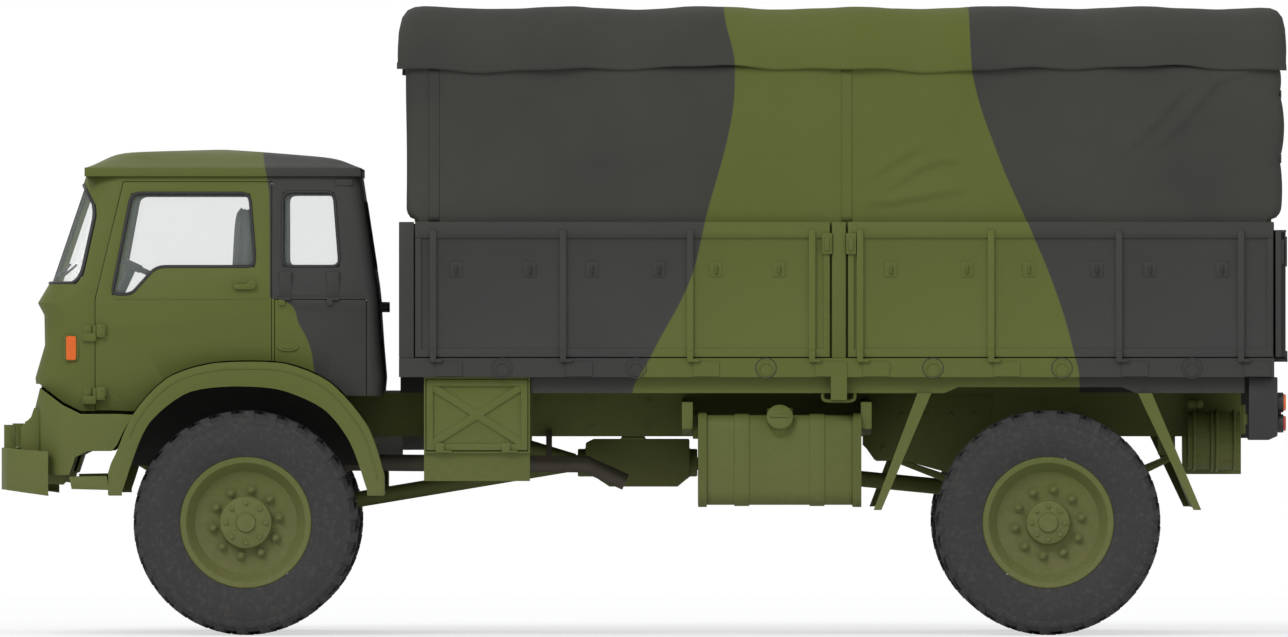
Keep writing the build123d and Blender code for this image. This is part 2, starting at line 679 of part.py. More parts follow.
def across(table, base):
    """A (y, z) outline, the same on both sides, from places in from CAB_HALF and heights above a base."""
    left = [(-CAB_HALF + inset, base + rise) for inset, rise in table]
    return left + [(-y, z) for y, z in reversed(left)]


def make_roof():
    """Roof pressing with a gutter round it, hollow inside."""
    raised = [(x, z + SEAT_GAP) for x, z in ROOF_SIDE]
    x0 = XF - 900
    x1 = XF + 700
    gutter = FRAME_Z + GUTTER
    roof = along_y(from_front_axle(raised), -CAB_HALF, CAB_HALF) & along_x(across(ROOF_FRONT, gutter), x0,
                                                                           x1)
    roof -= along_y(from_front_axle(ROOF_INSIDE), -CAB_HALF, CAB_HALF) & along_x(across(ROOF_HOLLOW,
                                                                                        gutter), x0, x1)
    piece("cab_roof", roof)


def make_cab_inside():
    inside = cab_solid(CAB_WALL + SEAT_GAP)
    top = CAB_LIFT + FLOOR_SHEET
    path = [(-1200, CAB_LIFT), (-1200, top), (-655, top), (-490, 187), (60, 187), (60, 480), (900, 480),
            (900, 468),
            (72, 468), (72, 175), (-484, 175), (-648, CAB_LIFT)]
    floor = along_y(from_front_axle(path), -BEYOND, BEYOND)
    floor = floor & inside
    floor += block(XF - 330, XF + 72, -330, 330, FRAME_Z + 175, FRAME_Z + 450)
    floor -= block(XF - 318, XF + 100, -318, 318, FRAME_Z, FRAME_Z + 438)
    piece("cab_floor", floor)
    dash = along_y(from_front_axle([(-1200, 560), (-760, 560), (-740, 520), (-760, 430), (-1200, 400)]),
                   -BEYOND, BEYOND)
    piece("dashboard", dash & inside)
    base = block(XF - 420, XF + 20, -SEAT_Y - 230, -SEAT_Y + 230, FRAME_Z + 187 + SEAT_GAP, FRAME_Z + 330)
    cushion = block(XF - 430, XF - 10, -SEAT_Y - 240, -SEAT_Y + 240, FRAME_Z + 330 + SEAT_GAP,
                    FRAME_Z + 440)
    squab = along_y(from_front_axle([(-85, 440 + SEAT_GAP), (15, 440 + SEAT_GAP), (45, 930), (-30, 930)]),
                    -SEAT_Y - 230, -SEAT_Y + 230)
    piece("seat_bases", *both(base))
    piece("seat_cushions", *both(cushion))
    piece("seat_backs", *both(squab))
    make_steering_wheel()


SEAT_Y = CAB_HALF - 475
WHEEL_HUB = (XF - 600, SEAT_Y, FRAME_Z + 640)
COLUMN_LEAN = 25.0  # of the column from upright
STEERING_WHEEL_R = 225.0
RIM_HALF = 13.0


def make_steering_wheel():
    """Steering wheel on a leaning column that ends on the cab floor."""
    tilt = Pos(*WHEEL_HUB) * Rot(0, COLUMN_LEAN, 0)
    ring = plate(STEERING_WHEEL_R + RIM_HALF) - plate(STEERING_WHEEL_R - RIM_HALF)
    rim = extrude(tilt * Pos(0, 0, -RIM_HALF) * ring, 2 * RIM_HALF)
    rim += tilt * Cylinder(45, 40)
    for turn in (90, 210, 330):
        rim += tilt * Rot(0, 0, turn) * Pos(STEERING_WHEEL_R / 2, 0, 0) * Box(STEERING_WHEEL_R, 26, 10)
    piece("steering_wheel", rim)
    lean = radians(COLUMN_LEAN)
    run = Vector(-sin(lean), 0, -cos(lean))
    start = Vector(*WHEEL_HUB) + run * (20 + SEAT_GAP)
    foot_z = FRAME_Z + CAB_LIFT + FLOOR_SHEET + SEAT_GAP
    end = start + run * ((start.Z - foot_z - 25) / cos(lean))
    column = bar(tuple(start), tuple(end), 22)
    column += block(end.X - 45, end.X + 45, end.Y - 40, end.Y + 40, foot_z, foot_z + 40)
    piece("steering_column", column)


# ---- front end ----
FRONT_PANEL = ((-1032, 25), (-917, -60), (-827, -105), (-570, -105), (-640, -260), (-662, -290),
               (-792, -290),
               (-852, -320), (-882, -410), (-1000, -410), (-1050, -240), (-1057, -70))
POD = ((-1062, -75), (-1077, -120), (-1127, -170), (-1127, -310), (-1000, -450), (-920, -460), (-897, -435),
       (-877, -325), (-862, -250), (-892, -175), (-952, -125), (-1002, -85))
POD_Y = (GUARD_HALF - 515, GUARD_HALF - 185)
LAMP_Y = (POD_Y[0] + POD_Y[1]) / 2
LAMP_R = 95.0
LAMP_Z = -240.0
GRILLE_HALF = 405.0


def make_front():
    sides = from_front_axle(FRONT_PANEL)
    panel = along_y(sides, -GUARD_HALF, GUARD_HALF)
    plan = [(XF - 1060, -GUARD_HALF), (XF - 400, -GUARD_HALF), (XF - 400, GUARD_HALF), (XF - 1060,
                                                                                        GUARD_HALF)]
    inner_plan = [(XF - 1060 + SHEET, -GUARD_HALF + SHEET), (XF - 400, -GUARD_HALF + SHEET),
                  (XF - 400, GUARD_HALF - SHEET), (XF - 1060 + SHEET, GUARD_HALF - SHEET)]
    z0 = FRAME_Z - 500
    z1 = FRAME_Z + 100
    panel = panel & along_z(plan, z0, z1, [270, 5, 5, 270])
    hollow_side = offset(make_face(Polyline(*sides, close=True)), -SHEET, kind=Kind.INTERSECTION)
    core = extrude(Plane(origin=(0, GUARD_HALF, 0), x_dir=(1, 0, 0), z_dir=(0, -1, 0)) * hollow_side,
                   2 * GUARD_HALF)
    panel -= core & along_z(inner_plan, z0, z1, [262, 5, 5, 262])
    panel -= block(XF - 1035, XF - 400, -WELL_Y, WELL_Y, z0, z1)
    panel -= block(XF - 1100, XF - 1000, -GRILLE_HALF, GRILLE_HALF, FRAME_Z - 330, FRAME_Z - 40)
    panel -= arch_prism(ARCH_OUTER, SEAT_GAP, 0, -BEYOND, BEYOND)
    for side in (-1, 1):
        panel -= block(XF - 1100, XF - 400, side * (RAIL_HALF + SEAT_GAP),
                       side * (RAIL_HALF - RAIL_T - SEAT_GAP),
                       z0, FRAME_Z - 100)
    pods = []
    for side in (-1, 1):
        pod = along_y(from_front_axle(POD), side * POD_Y[0], side * POD_Y[1])
        well = drum_x(side * LAMP_Y, FRAME_Z + LAMP_Z, LAMP_R + SEAT_GAP, XF - 1200, XF - 1060)
        pods.append(pod - well)
        panel -= pod
    piece("front_panel", panel, *pods)
    lamps = [drum_x(side * LAMP_Y, FRAME_Z + LAMP_Z, LAMP_R, XF - 1115,
                    XF - 1060 - SEAT_GAP) for side in (-1, 1)]
    piece("headlamps", *lamps)
    edge = GRILLE_HALF - SEAT_GAP
    slats = block(XF - 1057, XF - 1049, -edge, edge, FRAME_Z - 330 + SEAT_GAP, FRAME_Z - 40 - SEAT_GAP)
    for count in range(6):
        z = FRAME_Z - 300 + count * 44
        slats -= block(XF - 1060, XF - 1030, -edge + 25, edge - 25, z, z + 26)
    slats += block(XF - 1057, XF - 1049, -15, 15, FRAME_Z - 329, FRAME_Z - 41)
    piece("grille", slats)


BUMPER_SWEEP = 239.0  # how far the bumper's ends curve back
BUMPER_HALF = GUARD_HALF - BUMPER_INSET
BUMPER_DEPTH = 60.0


def bumper_plan(inset, back):
    """The bumper's (x, y) outline, its front face and curved ends drawn in."""
    x0 = XF - FRONT_OVERHANG + inset
    half = BUMPER_HALF - inset
    curve = BUMPER_SWEEP - 3 - inset
    return [(x0, -half), (back, -half), (back, half), (x0, half)], [curve, 1, 1, curve]


def make_bumper():
    """A channel with its open side to the rear, its ends swept back, and two upright marker posts."""
    x1 = XF - FRONT_OVERHANG + BUMPER_SWEEP
    side = [(-1300, -275), (-1222, -275), (-1017, -290), (-900, -300), (-900, -530), (-983, -515),
            (-1202, -485),
            (-1300, -475)]
    plan, radii = bumper_plan(0, x1)
    beam = along_z(plan, FRAME_Z - 600, FRAME_Z, radii) & along_y(from_front_axle(side), -BEYOND, BEYOND)
    plan, radii = bumper_plan(BUMPER_DEPTH, x1 + 50)
    beam -= along_z(plan, FRAME_Z - 600, FRAME_Z, radii)
    plan, radii = bumper_plan(SHEET, x1 + 50)
    core = [(x, z - 9 if z > -400 else z + 9) for x, z in side]
    beam -= along_z(plan, FRAME_Z - 600, FRAME_Z, radii) & along_y(from_front_axle(core), -BEYOND, BEYOND)
    post_x = XF - FRONT_OVERHANG + 10
    for side in (-1, 1):
        y = side * (LAMP_Y - 15)
        beam += block(post_x, post_x + 56, y - 30, y + 30, FRAME_Z - 281, FRAME_Z - 160)
    piece("front_bumper", beam)


STEP_WIDTH = 285.0


def make_guards():
    """Front mudguards: an outer face round the arch, the crown over the wheel and the well's inner wall."""
    outer = arch_prism(ARCH_OUTER, 0, 135, -GUARD_HALF, -WELL_Y)
    under = arch_prism(ARCH_OUTER, -GUARD_T, 100, -GUARD_HALF + GUARD_T, -WELL_Y - GUARD_T)
    mouth = arch_prism(ARCH_INNER, 0, 100, -GUARD_HALF - 10, -GUARD_HALF + GUARD_T + 5)
    guard = outer - under - mouth
    guard -= block(XF - 900, XF + 900, -900, 0, 0, AXLE_Z + 284)
    guard -= along_y([(XF - 640, AXLE_Z + 120), (XF + 610, AXLE_Z + 120), (XF + 610, AXLE_Z + 160),
                      (XF - 640, AXLE_Z + 160)], -GUARD_HALF + GUARD_T, -500)
    foot = arch(ARCH_OUTER, 0, 0)[0][0] - XF + GUARD_T / 2
    step = along_y(from_front_axle([(-882, -418), (foot, -418), (foot, -485), (-870, -480)]),
                   -GUARD_HALF, -GUARD_HALF + STEP_WIDTH)
    piece("front_mudguards", *both(guard + step))


# ---- load body ----
SIDE_SPLIT = XF + BODY_SETBACK + 2200
TAIL_RIBS = (-1080, -540, 0, 540, 1080)
RIB_TOP = 40.0
EYE = 7.0  # half thickness of a hinge eye
EYE_WIDTH = 30.0
STRAP = (130.0, 78.0, 5.0)  # hinge strap on the sill: length, reach below the hinge, thickness
STANCHION = 40.0  # half width of the pocket that holds the middle post
STANCHION_FOOT = 35.0  # below the frame's top
BOARDS = (
    # name, front end, rear end, rib middles and hinge middles behind the front end
    ("front", BODY_X0 + CORNER_POST, SIDE_SPLIT - POST_WIDTH / 2, (90, 740, 1375, 1985)),
    ("rear", SIDE_SPLIT + POST_WIDTH / 2, BODY_X1, (60, 715, 1355, 1965)),
)


def board(x0, x1, ribs):
    """Left drop side: a plank wall with a rolled top rail, ribs and hinge eyes on its axis."""
    x0 += BOARD_GAP
    x1 -= BOARD_GAP
    wall = block(x0, x1, -BODY_HALF, -BODY_HALF + SIDE_T, SIDE_Z0, SIDE_Z1)
    wall -= block(x0 + 30, x1 - 30, -BODY_HALF - 1, -BODY_HALF + 8, SIDE_Z0 + 40, SIDE_Z1 - 75)
    for place in ribs:
        rib = x0 + place
        wall += block(rib - RIB_WIDTH / 2, rib + RIB_WIDTH / 2, -BODY_HALF - RIB_PROUD, -BODY_HALF + 10,
                      SIDE_Z0, SIDE_Z1 - RIB_TOP)
        wall += block(rib - EYE_WIDTH / 2, rib + EYE_WIDTH / 2, -BOARD_HINGE_Y - EYE, -BODY_HALF - 3,
                      HINGE_Z - EYE, SIDE_Z0 + 30)
    return wall


def make_body():
    floor = block(BODY_X0, BODY_X1, -BODY_HALF + SIDE_T + BOARD_GAP, BODY_HALF - SIDE_T - BOARD_GAP,
                  DECK_Z, FLOOR_Z)
    for side in (-1, 1):
        floor += block(BODY_X0, BODY_X1, side * (BODY_HALF - 55), side * BODY_HALF, BEARER_Z, FLOOR_Z)
        floor += block(BODY_X0, RAIL_X1, side * (RAIL_HALF - RAIL_FLANGE), side * RAIL_HALF,
                       FRAME_Z + SEAT_GAP,
                       DECK_Z)
    for name, board_x0, board_x1, ribs in BOARDS:
        for side in (-1, 1):
            for place in ribs:
                x = board_x0 + BOARD_GAP + place + EYE_WIDTH / 2 + SEAT_GAP
                floor += block(x, x + EYE_WIDTH, side * (BODY_HALF - 5), side * (BOARD_HINGE_Y + EYE),
                               HINGE_Z - EYE,
                               HINGE_Z + EYE)
                floor += block(x, x + STRAP[0], side * (BODY_HALF - 5), side * (BODY_HALF + STRAP[2]),
                               HINGE_Z - STRAP[1], HINGE_Z - EYE)
    for y in TAIL_RIBS:
        floor += block(BODY_X1 - 5, TAIL_AXIS_X + EYE, y - EYE_WIDTH - SEAT_GAP, y - SEAT_GAP,
                       HINGE_Z - EYE,
                       HINGE_Z + EYE)
    pitch = (BODY_X1 - BODY_X0 - 60) / (BEARER_COUNT - 1)
    for count in range(BEARER_COUNT):
        x = BODY_X0 + count * pitch
        floor += block(x, x + 60, -BODY_HALF + 40, BODY_HALF - 40, BEARER_Z, DECK_Z)
    skirt = along_y([(BODY_X0 + 660, BEARER_Z), (BODY_X0 + 660, FRAME_Z), (XR - 520, FRAME_Z),
                     (XR - 450, FRAME_Z + 30), (XR + 370, FRAME_Z + 30), (XR + 440, FRAME_Z),
                     (RAIL_X1, FRAME_Z), (RAIL_X1, BEARER_Z)], -SKIRT_Y, -SKIRT_Y + SKIRT_T)
    floor += skirt + right(skirt)
    pocket = block(SIDE_SPLIT - STANCHION, SIDE_SPLIT + STANCHION, -BODY_HALF - STRAP[2], -SKIRT_Y + 5,
                   FRAME_Z - STANCHION_FOOT, HINGE_Z - EYE)
    floor += pocket + right(pocket)
    piece("load_floor", floor)
    inner = BODY_HALF - SIDE_T - BOARD_GAP
    head = block(BODY_X0, BODY_X0 + 40, -inner, inner, FLOOR_Z + SEAT_GAP, SIDE_Z1)
    for side in (-1, 1):
        head += block(BODY_X0, BODY_X0 + CORNER_POST, side * (inner - 40), side * (BODY_HALF - 1),
                      FLOOR_Z + SEAT_GAP, SIDE_Z1)
    piece("headboard", head)
    posts = []
    for side in (-1, 1):
        posts.append(block(SIDE_SPLIT - 35, SIDE_SPLIT + 35, side * (inner - 50), side * (BODY_HALF - 1),
                           FLOOR_Z + SEAT_GAP, SIDE_Z1))
        posts.append(block(BODY_X1 - 60, BODY_X1, side * (inner - 60), side * (inner - 2),
                           FLOOR_Z + SEAT_GAP,
                           SIDE_Z1))
    piece("body_posts", *posts)
    for name, x0, x1, ribs in BOARDS:
        pair(f"drop_side_{name}", board(x0, x1, ribs))
    make_tailboard()


def make_tailboard():
    z0 = FLOOR_Z + BOARD_GAP
    half = BODY_HALF - BOARD_GAP
    tail = block(TAIL_X0, TAIL_X0 + TAIL_T, -half, half, z0, z0 + TAIL_HEIGHT)
    for y in TAIL_RIBS:
        tail += block(TAIL_X0 + 10, TAIL_X0 + TAIL_T + TAIL_RIB, y - 30, y + 30, z0, z0 + TAIL_HEIGHT - 10)
        tail += block(TAIL_AXIS_X - 20, TAIL_AXIS_X + EYE, y, y + EYE_WIDTH, HINGE_Z - EYE, z0 + 30)
    piece("tailboard", tail)


# ---- tilt ----
def make_tilt():
    x0 = BODY_X0 - 8
    x1 = X_REAR - 8
    top = SIDE_Z1 + TILT_RISE
    eaves = SIDE_Z1 + EAVES_RISE
    curtain = CURTAIN_HALF
    roof = [(-TILT_ROOF_HALF, eaves), (-TILT_ROOF_HALF, eaves + 40), (-curtain + 30, eaves + 190),
            (-curtain + 190, top - 40), (-curtain + 380, top), (curtain - 380, top), (curtain - 190,
                                                                                      top - 40),
            (curtain - 30, eaves + 190), (TILT_ROOF_HALF, eaves + 40), (TILT_ROOF_HALF, eaves)]
    under = [(-curtain + CANVAS_T, SIDE_Z0 + 50), (-curtain + CANVAS_T, eaves + 170), (-curtain + 205,
                                                                                       top - 40 - CANVAS_T),
             (-curtain + 385, top - CANVAS_T), (curtain - 385, top - CANVAS_T), (curtain - 205,
                                                                                 top - 40 - CANVAS_T),
             (curtain - CANVAS_T, eaves + 170), (curtain - CANVAS_T, SIDE_Z0 + 50)]
    body = along_x(roof, x0, x1)
    body += block(x0 + 50, x1 - 15, -curtain, curtain, SIDE_Z1 + SEAT_GAP, eaves + 10)
    body -= along_x(under, x0 + 50 + CANVAS_T, x1 - 15 - CANVAS_T)
    piece("tilt_canopy", body)
    make_hoops(top, eaves)


def make_hoops(top, eaves):
    """Bows from side to side under the canvas, tied by three rails."""
    y = CURTAIN_HALF - CANVAS_T - SEAT_GAP
    crown = top - CANVAS_T - SEAT_GAP
    bars = []
    for side_y, z in ((-y + HOOP / 2, eaves + 100), (0, top - 69), (y - HOOP / 2, eaves + 100)):
        bars.append(block(BODY_X0 + 80, BODY_X1 - 20, side_y - HOOP / 2, side_y + HOOP / 2, z, z + HOOP))
    half_bow = [(-y, eaves + 126), (-y, eaves + 160), (-y + 165, top - 85), (-y + 380, crown)]
    under = [(-y + 370, top - 69), (-y + 185, top - 119)]
    bow = half_bow + [(-a, b) for a, b in reversed(half_bow)] + [(-a, b) for a,
                                                                 b in reversed(under)] + under
    for x in (BODY_X0 + 95, SIDE_SPLIT, BODY_X1 - 30):
        bars.append(along_x(bow, x - HOOP / 2, x + HOOP / 2))
        for side in (-1, 1):
            bars.append(block(x - HOOP / 2, x + HOOP / 2, side * (y - HOOP), side * y, SIDE_Z1 + SEAT_GAP,
                              eaves + 160))
    frame = bars[0]
    for part in bars[1:]:
        frame += part
    piece("tilt_frame", frame)


# ---- what hangs under the body ----
REAR_BOX = (199.0, 54.0, 235.0)  # its front and rear ahead of the truck's end, its foot below the frame
LAMP_PROUD = 31.0
REAR_LAMPS = (
    # in from the body's side, height from the frame's top, radius
    (130, -47, 46),
    (130, -152, 42),
)


def make_underside():
    length, width, depth = TANK
    x0 = XR - TANK_REACH
    z1 = FRAME_Z - TANK_TOP
    y0 = -RAIL_HALF - 130
    section = [(y0, z1), (y0 - width, z1), (y0 - width, z1 - depth), (y0, z1 - depth)]
    tank = along_x(section, x0, x0 + length, TANK_CORNER)
    proud = TANK_BAND
    band = [(y0 + proud, z1 + proud), (y0 - width - proud, z1 + proud), (y0 - width - proud,
                                                                         z1 - depth - proud),
            (y0 + proud, z1 - depth - proud)]
    for start, band_width in TANK_BANDS:
        tank += along_x(band, x0 + start, x0 + start + band_width, TANK_CORNER + proud)
    tank += block(x0 - 30 + SEAT_GAP, x0 + 1, y0 - width + 150, y0 - 150, z1 - 120, z1)
    tank += drum_z(x0 + length / 2, y0 - width + 120, 65, z1 - 10, z1 + 35)
    piece("fuel_tank", tank)
    arms = []
    for x in (x0 - 85, x0 + length + SEAT_GAP):
        arms.append(along_x([(-RAIL_HALF - SEAT_GAP, FRAME_Z - 30), (y0 - width + 20, FRAME_Z - 45),
                             (y0 - width + 20, FRAME_Z - 180), (-RAIL_HALF - SEAT_GAP, FRAME_Z - 215)], x,
                             x + 55))
    piece("tank_arms", *both(arms[0]), *both(arms[1]))
    length, width, depth = LOCKER
    x0 = BODY_X0 + LOCKER_SETBACK
    z1 = BEARER_Z - SEAT_GAP
    y1 = -LOCKER_OUT
    box = block(x0, x0 + length, y1, y1 + width, z1 - depth, z1)
    box -= block(x0 + 8, x0 + length - 8, y1 - 1, y1 + width - 8, z1 - depth + 8, z1 - 8)
    box += block(x0, x0 + length, y1 + 20, y1 + 28, z1 - depth - 140, z1 - depth + 1)
    foot = z1 - depth
    door = block(x0 + 12, x0 + length - 12, y1, y1 + 20, foot + 14, z1 - 12)
    pane = (x0 + DOOR_RIM, x0 + length - DOOR_RIM, foot + DOOR_RIM, z1 - DOOR_RIM)
    door -= block(pane[0], pane[1], y1 - 1, y1 + DOOR_RECESS, pane[2], pane[3])
    for low, high in ((pane[2], pane[3]), (pane[3], pane[2])):
        lean = BRACE if high > low else -BRACE
        brace = [(pane[0], low), (pane[0] + BRACE, low), (pane[1], high - lean), (pane[1], high),
                 (pane[1] - BRACE, high),
                 (pane[0], low + lean)]
        door += along_y(brace, y1 + 3, y1 + DOOR_RECESS + 1)
    for x in (x0 + 60, x0 + length - 140):
        door += block(x, x + 40, y1 - 13, y1 - 3, foot + 3, foot + 50) + block(x, x + 40, y1 - 5, y1 + 1,
                                                                               foot + 20, foot + 50)
        box += block(x + 40 + SEAT_GAP, x + 80, y1 - 13, y1 + 4, foot + 3, foot + 8)
        box += block(x + 40 + SEAT_GAP, x + 80, y1 - 13, y1 - 3, foot + 3, foot + 13)
    piece("lockers", *both(box))
    pair("locker_door", door)
    back_plate = block(XR + 705, RAIL_X1, -RAIL_HALF - 10, -RAIL_HALF - SEAT_GAP, RAIL_BOTTOM - 190,
                       FRAME_Z)
    drum = drum_x(-RAIL_HALF - 5 - RESERVOIR_R, RAIL_BOTTOM - 20, RESERVOIR_R, XR + 708,
                  XR + 708 + RESERVOIR_LENGTH)
    piece("air_reservoirs", *both(back_plate + drum))
    flaps = []
    for top_x, top_z, low_x, low_z in ((XR - 593, FRAME_Z, XR - 843, AXLE_Z + 63),
                                       (XR + 510, FRAME_Z, XR + 757, AXLE_Z + 63)):
        flap = along_y([(top_x, top_z - SEAT_GAP), (low_x, low_z), (low_x + SHEET, low_z),
                        (top_x + SHEET, top_z - SEAT_GAP)], -SKIRT_Y - 20, -WHEEL_Y + TYRE_WIDTH / 2)
        flap += along_y([(top_x - SPLASH_FLANGE, top_z - SEAT_GAP), (low_x - SPLASH_FLANGE / 2, low_z),
                         (low_x + SHEET, low_z), (top_x + SHEET, top_z - SEAT_GAP)], -SKIRT_Y - 20,
                        -SKIRT_Y - 20 + SHEET)
        flaps += both(flap)
    piece("rear_splash_plates", *flaps)
    pipe = bar((XF + 400, -RAIL_HALF - 60, RAIL_BOTTOM - 130), (XF + 1723, -RAIL_HALF - 60,
                                                                RAIL_BOTTOM - 140), 42)
    pipe += bar((XF + 1700, -RAIL_HALF - 60, RAIL_BOTTOM - 140), (XF + 1900, -RAIL_HALF - 60,
                                                                  RAIL_BOTTOM - 230), 42)
    for x in (XF + 900, XF + 1500):
        pipe += block(x, x + 30, -RAIL_HALF - 80, -RAIL_HALF - SEAT_GAP, RAIL_BOTTOM - 110,
                      RAIL_BOTTOM + 30)
    piece("exhaust", pipe)
    front = X_REAR - REAR_BOX[0]
    rear = X_REAR - REAR_BOX[1]
    under = FRAME_Z - REAR_BOX[2]
    guard = along_y([(front, BEARER_Z - SEAT_GAP), (rear, BEARER_Z - SEAT_GAP), (rear, under + 20),
                     (rear - 45, under), (front, under)], -BODY_HALF + 55, -BODY_HALF + 325)
    for y, z, r in REAR_LAMPS:
        guard += drum_x(-BODY_HALF + y, FRAME_Z + z, r, rear - 1, rear + LAMP_PROUD)
    piece("rear_lamp_boxes", *both(guard))
    hook = block(RAIL_X1 + SEAT_GAP, RAIL_X1 + 30, -90, 90, FRAME_Z - 210, FRAME_Z - 60)
    hook += block(RAIL_X1 + 20, RAIL_X1 + 130, -25, 25, FRAME_Z - 160, FRAME_Z - 110)
    piece("towing_hook", hook)


make_wheels()
make_axles()
make_springs()
make_driveline()
make_frame()
make_cab()
make_front()
make_bumper()
make_guards()
make_body()
make_tilt()
make_underside()
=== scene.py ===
"""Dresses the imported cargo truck: paint, tyres, canvas, lamps, seats and small fittings."""

import json
import math

import bmesh
import bpy
from mathutils import Matrix, Vector, noise
from mathutils.bvhtree import BVHTree

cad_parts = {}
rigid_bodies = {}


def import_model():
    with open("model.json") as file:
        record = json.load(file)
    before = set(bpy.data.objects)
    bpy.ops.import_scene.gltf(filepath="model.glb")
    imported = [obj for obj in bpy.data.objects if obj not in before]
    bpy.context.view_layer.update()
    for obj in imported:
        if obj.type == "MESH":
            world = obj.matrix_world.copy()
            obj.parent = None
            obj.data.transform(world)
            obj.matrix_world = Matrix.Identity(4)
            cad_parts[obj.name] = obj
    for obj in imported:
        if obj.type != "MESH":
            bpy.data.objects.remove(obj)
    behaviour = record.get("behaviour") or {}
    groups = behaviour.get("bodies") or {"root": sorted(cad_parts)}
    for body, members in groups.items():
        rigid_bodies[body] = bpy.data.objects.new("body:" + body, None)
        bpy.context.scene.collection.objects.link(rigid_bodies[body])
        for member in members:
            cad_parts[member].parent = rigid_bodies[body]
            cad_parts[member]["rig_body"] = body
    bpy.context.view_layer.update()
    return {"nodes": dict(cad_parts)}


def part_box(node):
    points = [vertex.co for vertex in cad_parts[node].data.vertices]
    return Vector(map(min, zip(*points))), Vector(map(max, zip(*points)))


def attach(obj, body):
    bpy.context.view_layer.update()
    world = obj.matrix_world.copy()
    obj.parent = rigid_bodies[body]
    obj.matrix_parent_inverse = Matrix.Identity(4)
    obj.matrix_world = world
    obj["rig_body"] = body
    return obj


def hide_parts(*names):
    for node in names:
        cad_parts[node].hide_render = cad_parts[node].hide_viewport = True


bl_info = {
    "name": "Cargo truck finish",
    "version": (1, 0, 0),
    "blender": (4, 5, 0),
    "location": "3D View > Sidebar > Truck",
    "description": "Paints and details a four-wheel-drive cargo truck",
    "category": "Object",
}

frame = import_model()


def corners(node):
    """Lowest and highest corner of a node of the frame."""
    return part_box(node)


# ---- sizes and colours that a user would change ----
def paint_setting(name, description, default):
    """A colour setting."""
    return bpy.props.FloatVectorProperty(name=name, description=description, subtype="COLOR", size=3,
                                         min=0, max=1, default=default)


def size_setting(name, description, default, **more):
    """A size setting in metres."""
    return bpy.props.FloatProperty(name=name, description=description, default=default, unit="LENGTH",
                                   **more)


class TruckPaint(bpy.types.PropertyGroup):
    """Paint and cloth colours."""
    green: paint_setting("Green", "Matt green of the cab, body and frame", (0.095, 0.114, 0.024))
    black: paint_setting("Black", "Disruptive black bands", (0.036, 0.036, 0.037))
    rubber: paint_setting("Rubber", "Tyres, seals and flexible mats", (0.040, 0.040, 0.041))
    amber: paint_setting("Amber", "Indicator lenses", (0.72, 0.118, 0.002))
    red: paint_setting("Red", "Tail lamp lenses", (0.45, 0.012, 0.01))


class TyreSizes(bpy.types.PropertyGroup):
    """Cross-country tyres and their wheels."""
    lugs: bpy.props.IntProperty(name="Lugs", description="Lugs on each half of the tread", default=30, min=12)
    lug_height: size_setting("Lug height", "Depth of the tread", 0.018, min=0.005)
    lug_length: size_setting("Lug width", "Each lug's size round the tyre", 0.052, min=0.01)
    line_radius: size_setting("Shoulder line", "Radius of the rib on the sidewall", 0.492)
    front_hub: size_setting("Front hub", "Radius of the front hubs", 0.131, min=0.05)
    rear_hub: size_setting("Rear hub", "Radius of the rear hubs", 0.110, min=0.05)
    nuts: bpy.props.IntProperty(name="Wheel nuts", description="Nuts on each wheel", default=10, min=4)
    nut_circle: size_setting("Nut circle", "Radius of the nuts' circle", 0.1675)


class CanvasSizes(bpy.types.PropertyGroup):
    """Tilt canvas."""
    thickness: size_setting("Canvas thickness", "Thickness of the cloth", 0.004, min=0.001)
    sag: size_setting("Sag", "Dip of the roof between two bows", 0.014, min=0)
    fold: size_setting("Fold depth", "Depth of the folds in the curtains", 0.011, min=0)


class StageSettings(bpy.types.PropertyGroup):
    """Floor, lights and camera."""
    lens: bpy.props.FloatProperty(name="Lens", description="Camera focal length in mm", default=700, min=35)
    frame_width: size_setting("Frame width", "Width of what the camera sees", 6.44, min=1)
    aim_height: size_setting("Aim height", "Height of the middle of the view", 1.585)
    sky: bpy.props.FloatProperty(name="Sky", description="Light from all round", default=0.62, min=0)
    key: bpy.props.FloatProperty(name="Key light", description="Light of the soft sun", default=1.45, min=0)


# ---- shader arithmetic ----
class Value:
    """A number on a shader socket. Arithmetic on it adds Math nodes."""

    def __init__(self, finish, socket):
        self.finish = finish
        self.socket = socket

    def math(self, operation, *others):
        """A Math node fed by this value and the others."""
        inputs = {0: self}
        for place, other in enumerate(others, 1):
            inputs[place] = other
        return self.finish.node("ShaderNodeMath", {"operation": operation}, inputs)

    def __add__(self, other):
        return self.math("ADD", other)

    def __sub__(self, other):
        return self.math("SUBTRACT", other)

    def __mul__(self, other):
        return self.math("MULTIPLY", other)

    def __truediv__(self, other):
        return self.math("DIVIDE", other)

    def __rsub__(self, other):
        return self.finish.node("ShaderNodeMath", {"operation": "SUBTRACT"}, {0: other, 1: self})

    __radd__ = __add__
    __rmul__ = __mul__

    def step(self, low, high):
        """0 below low, 1 above high and a smooth rise between."""
        return self.finish.node("ShaderNodeMapRange", {"interpolation_type": "SMOOTHSTEP", "clamp": True},
                                {"Value": self, "From Min": low, "From Max": high}, "Result")


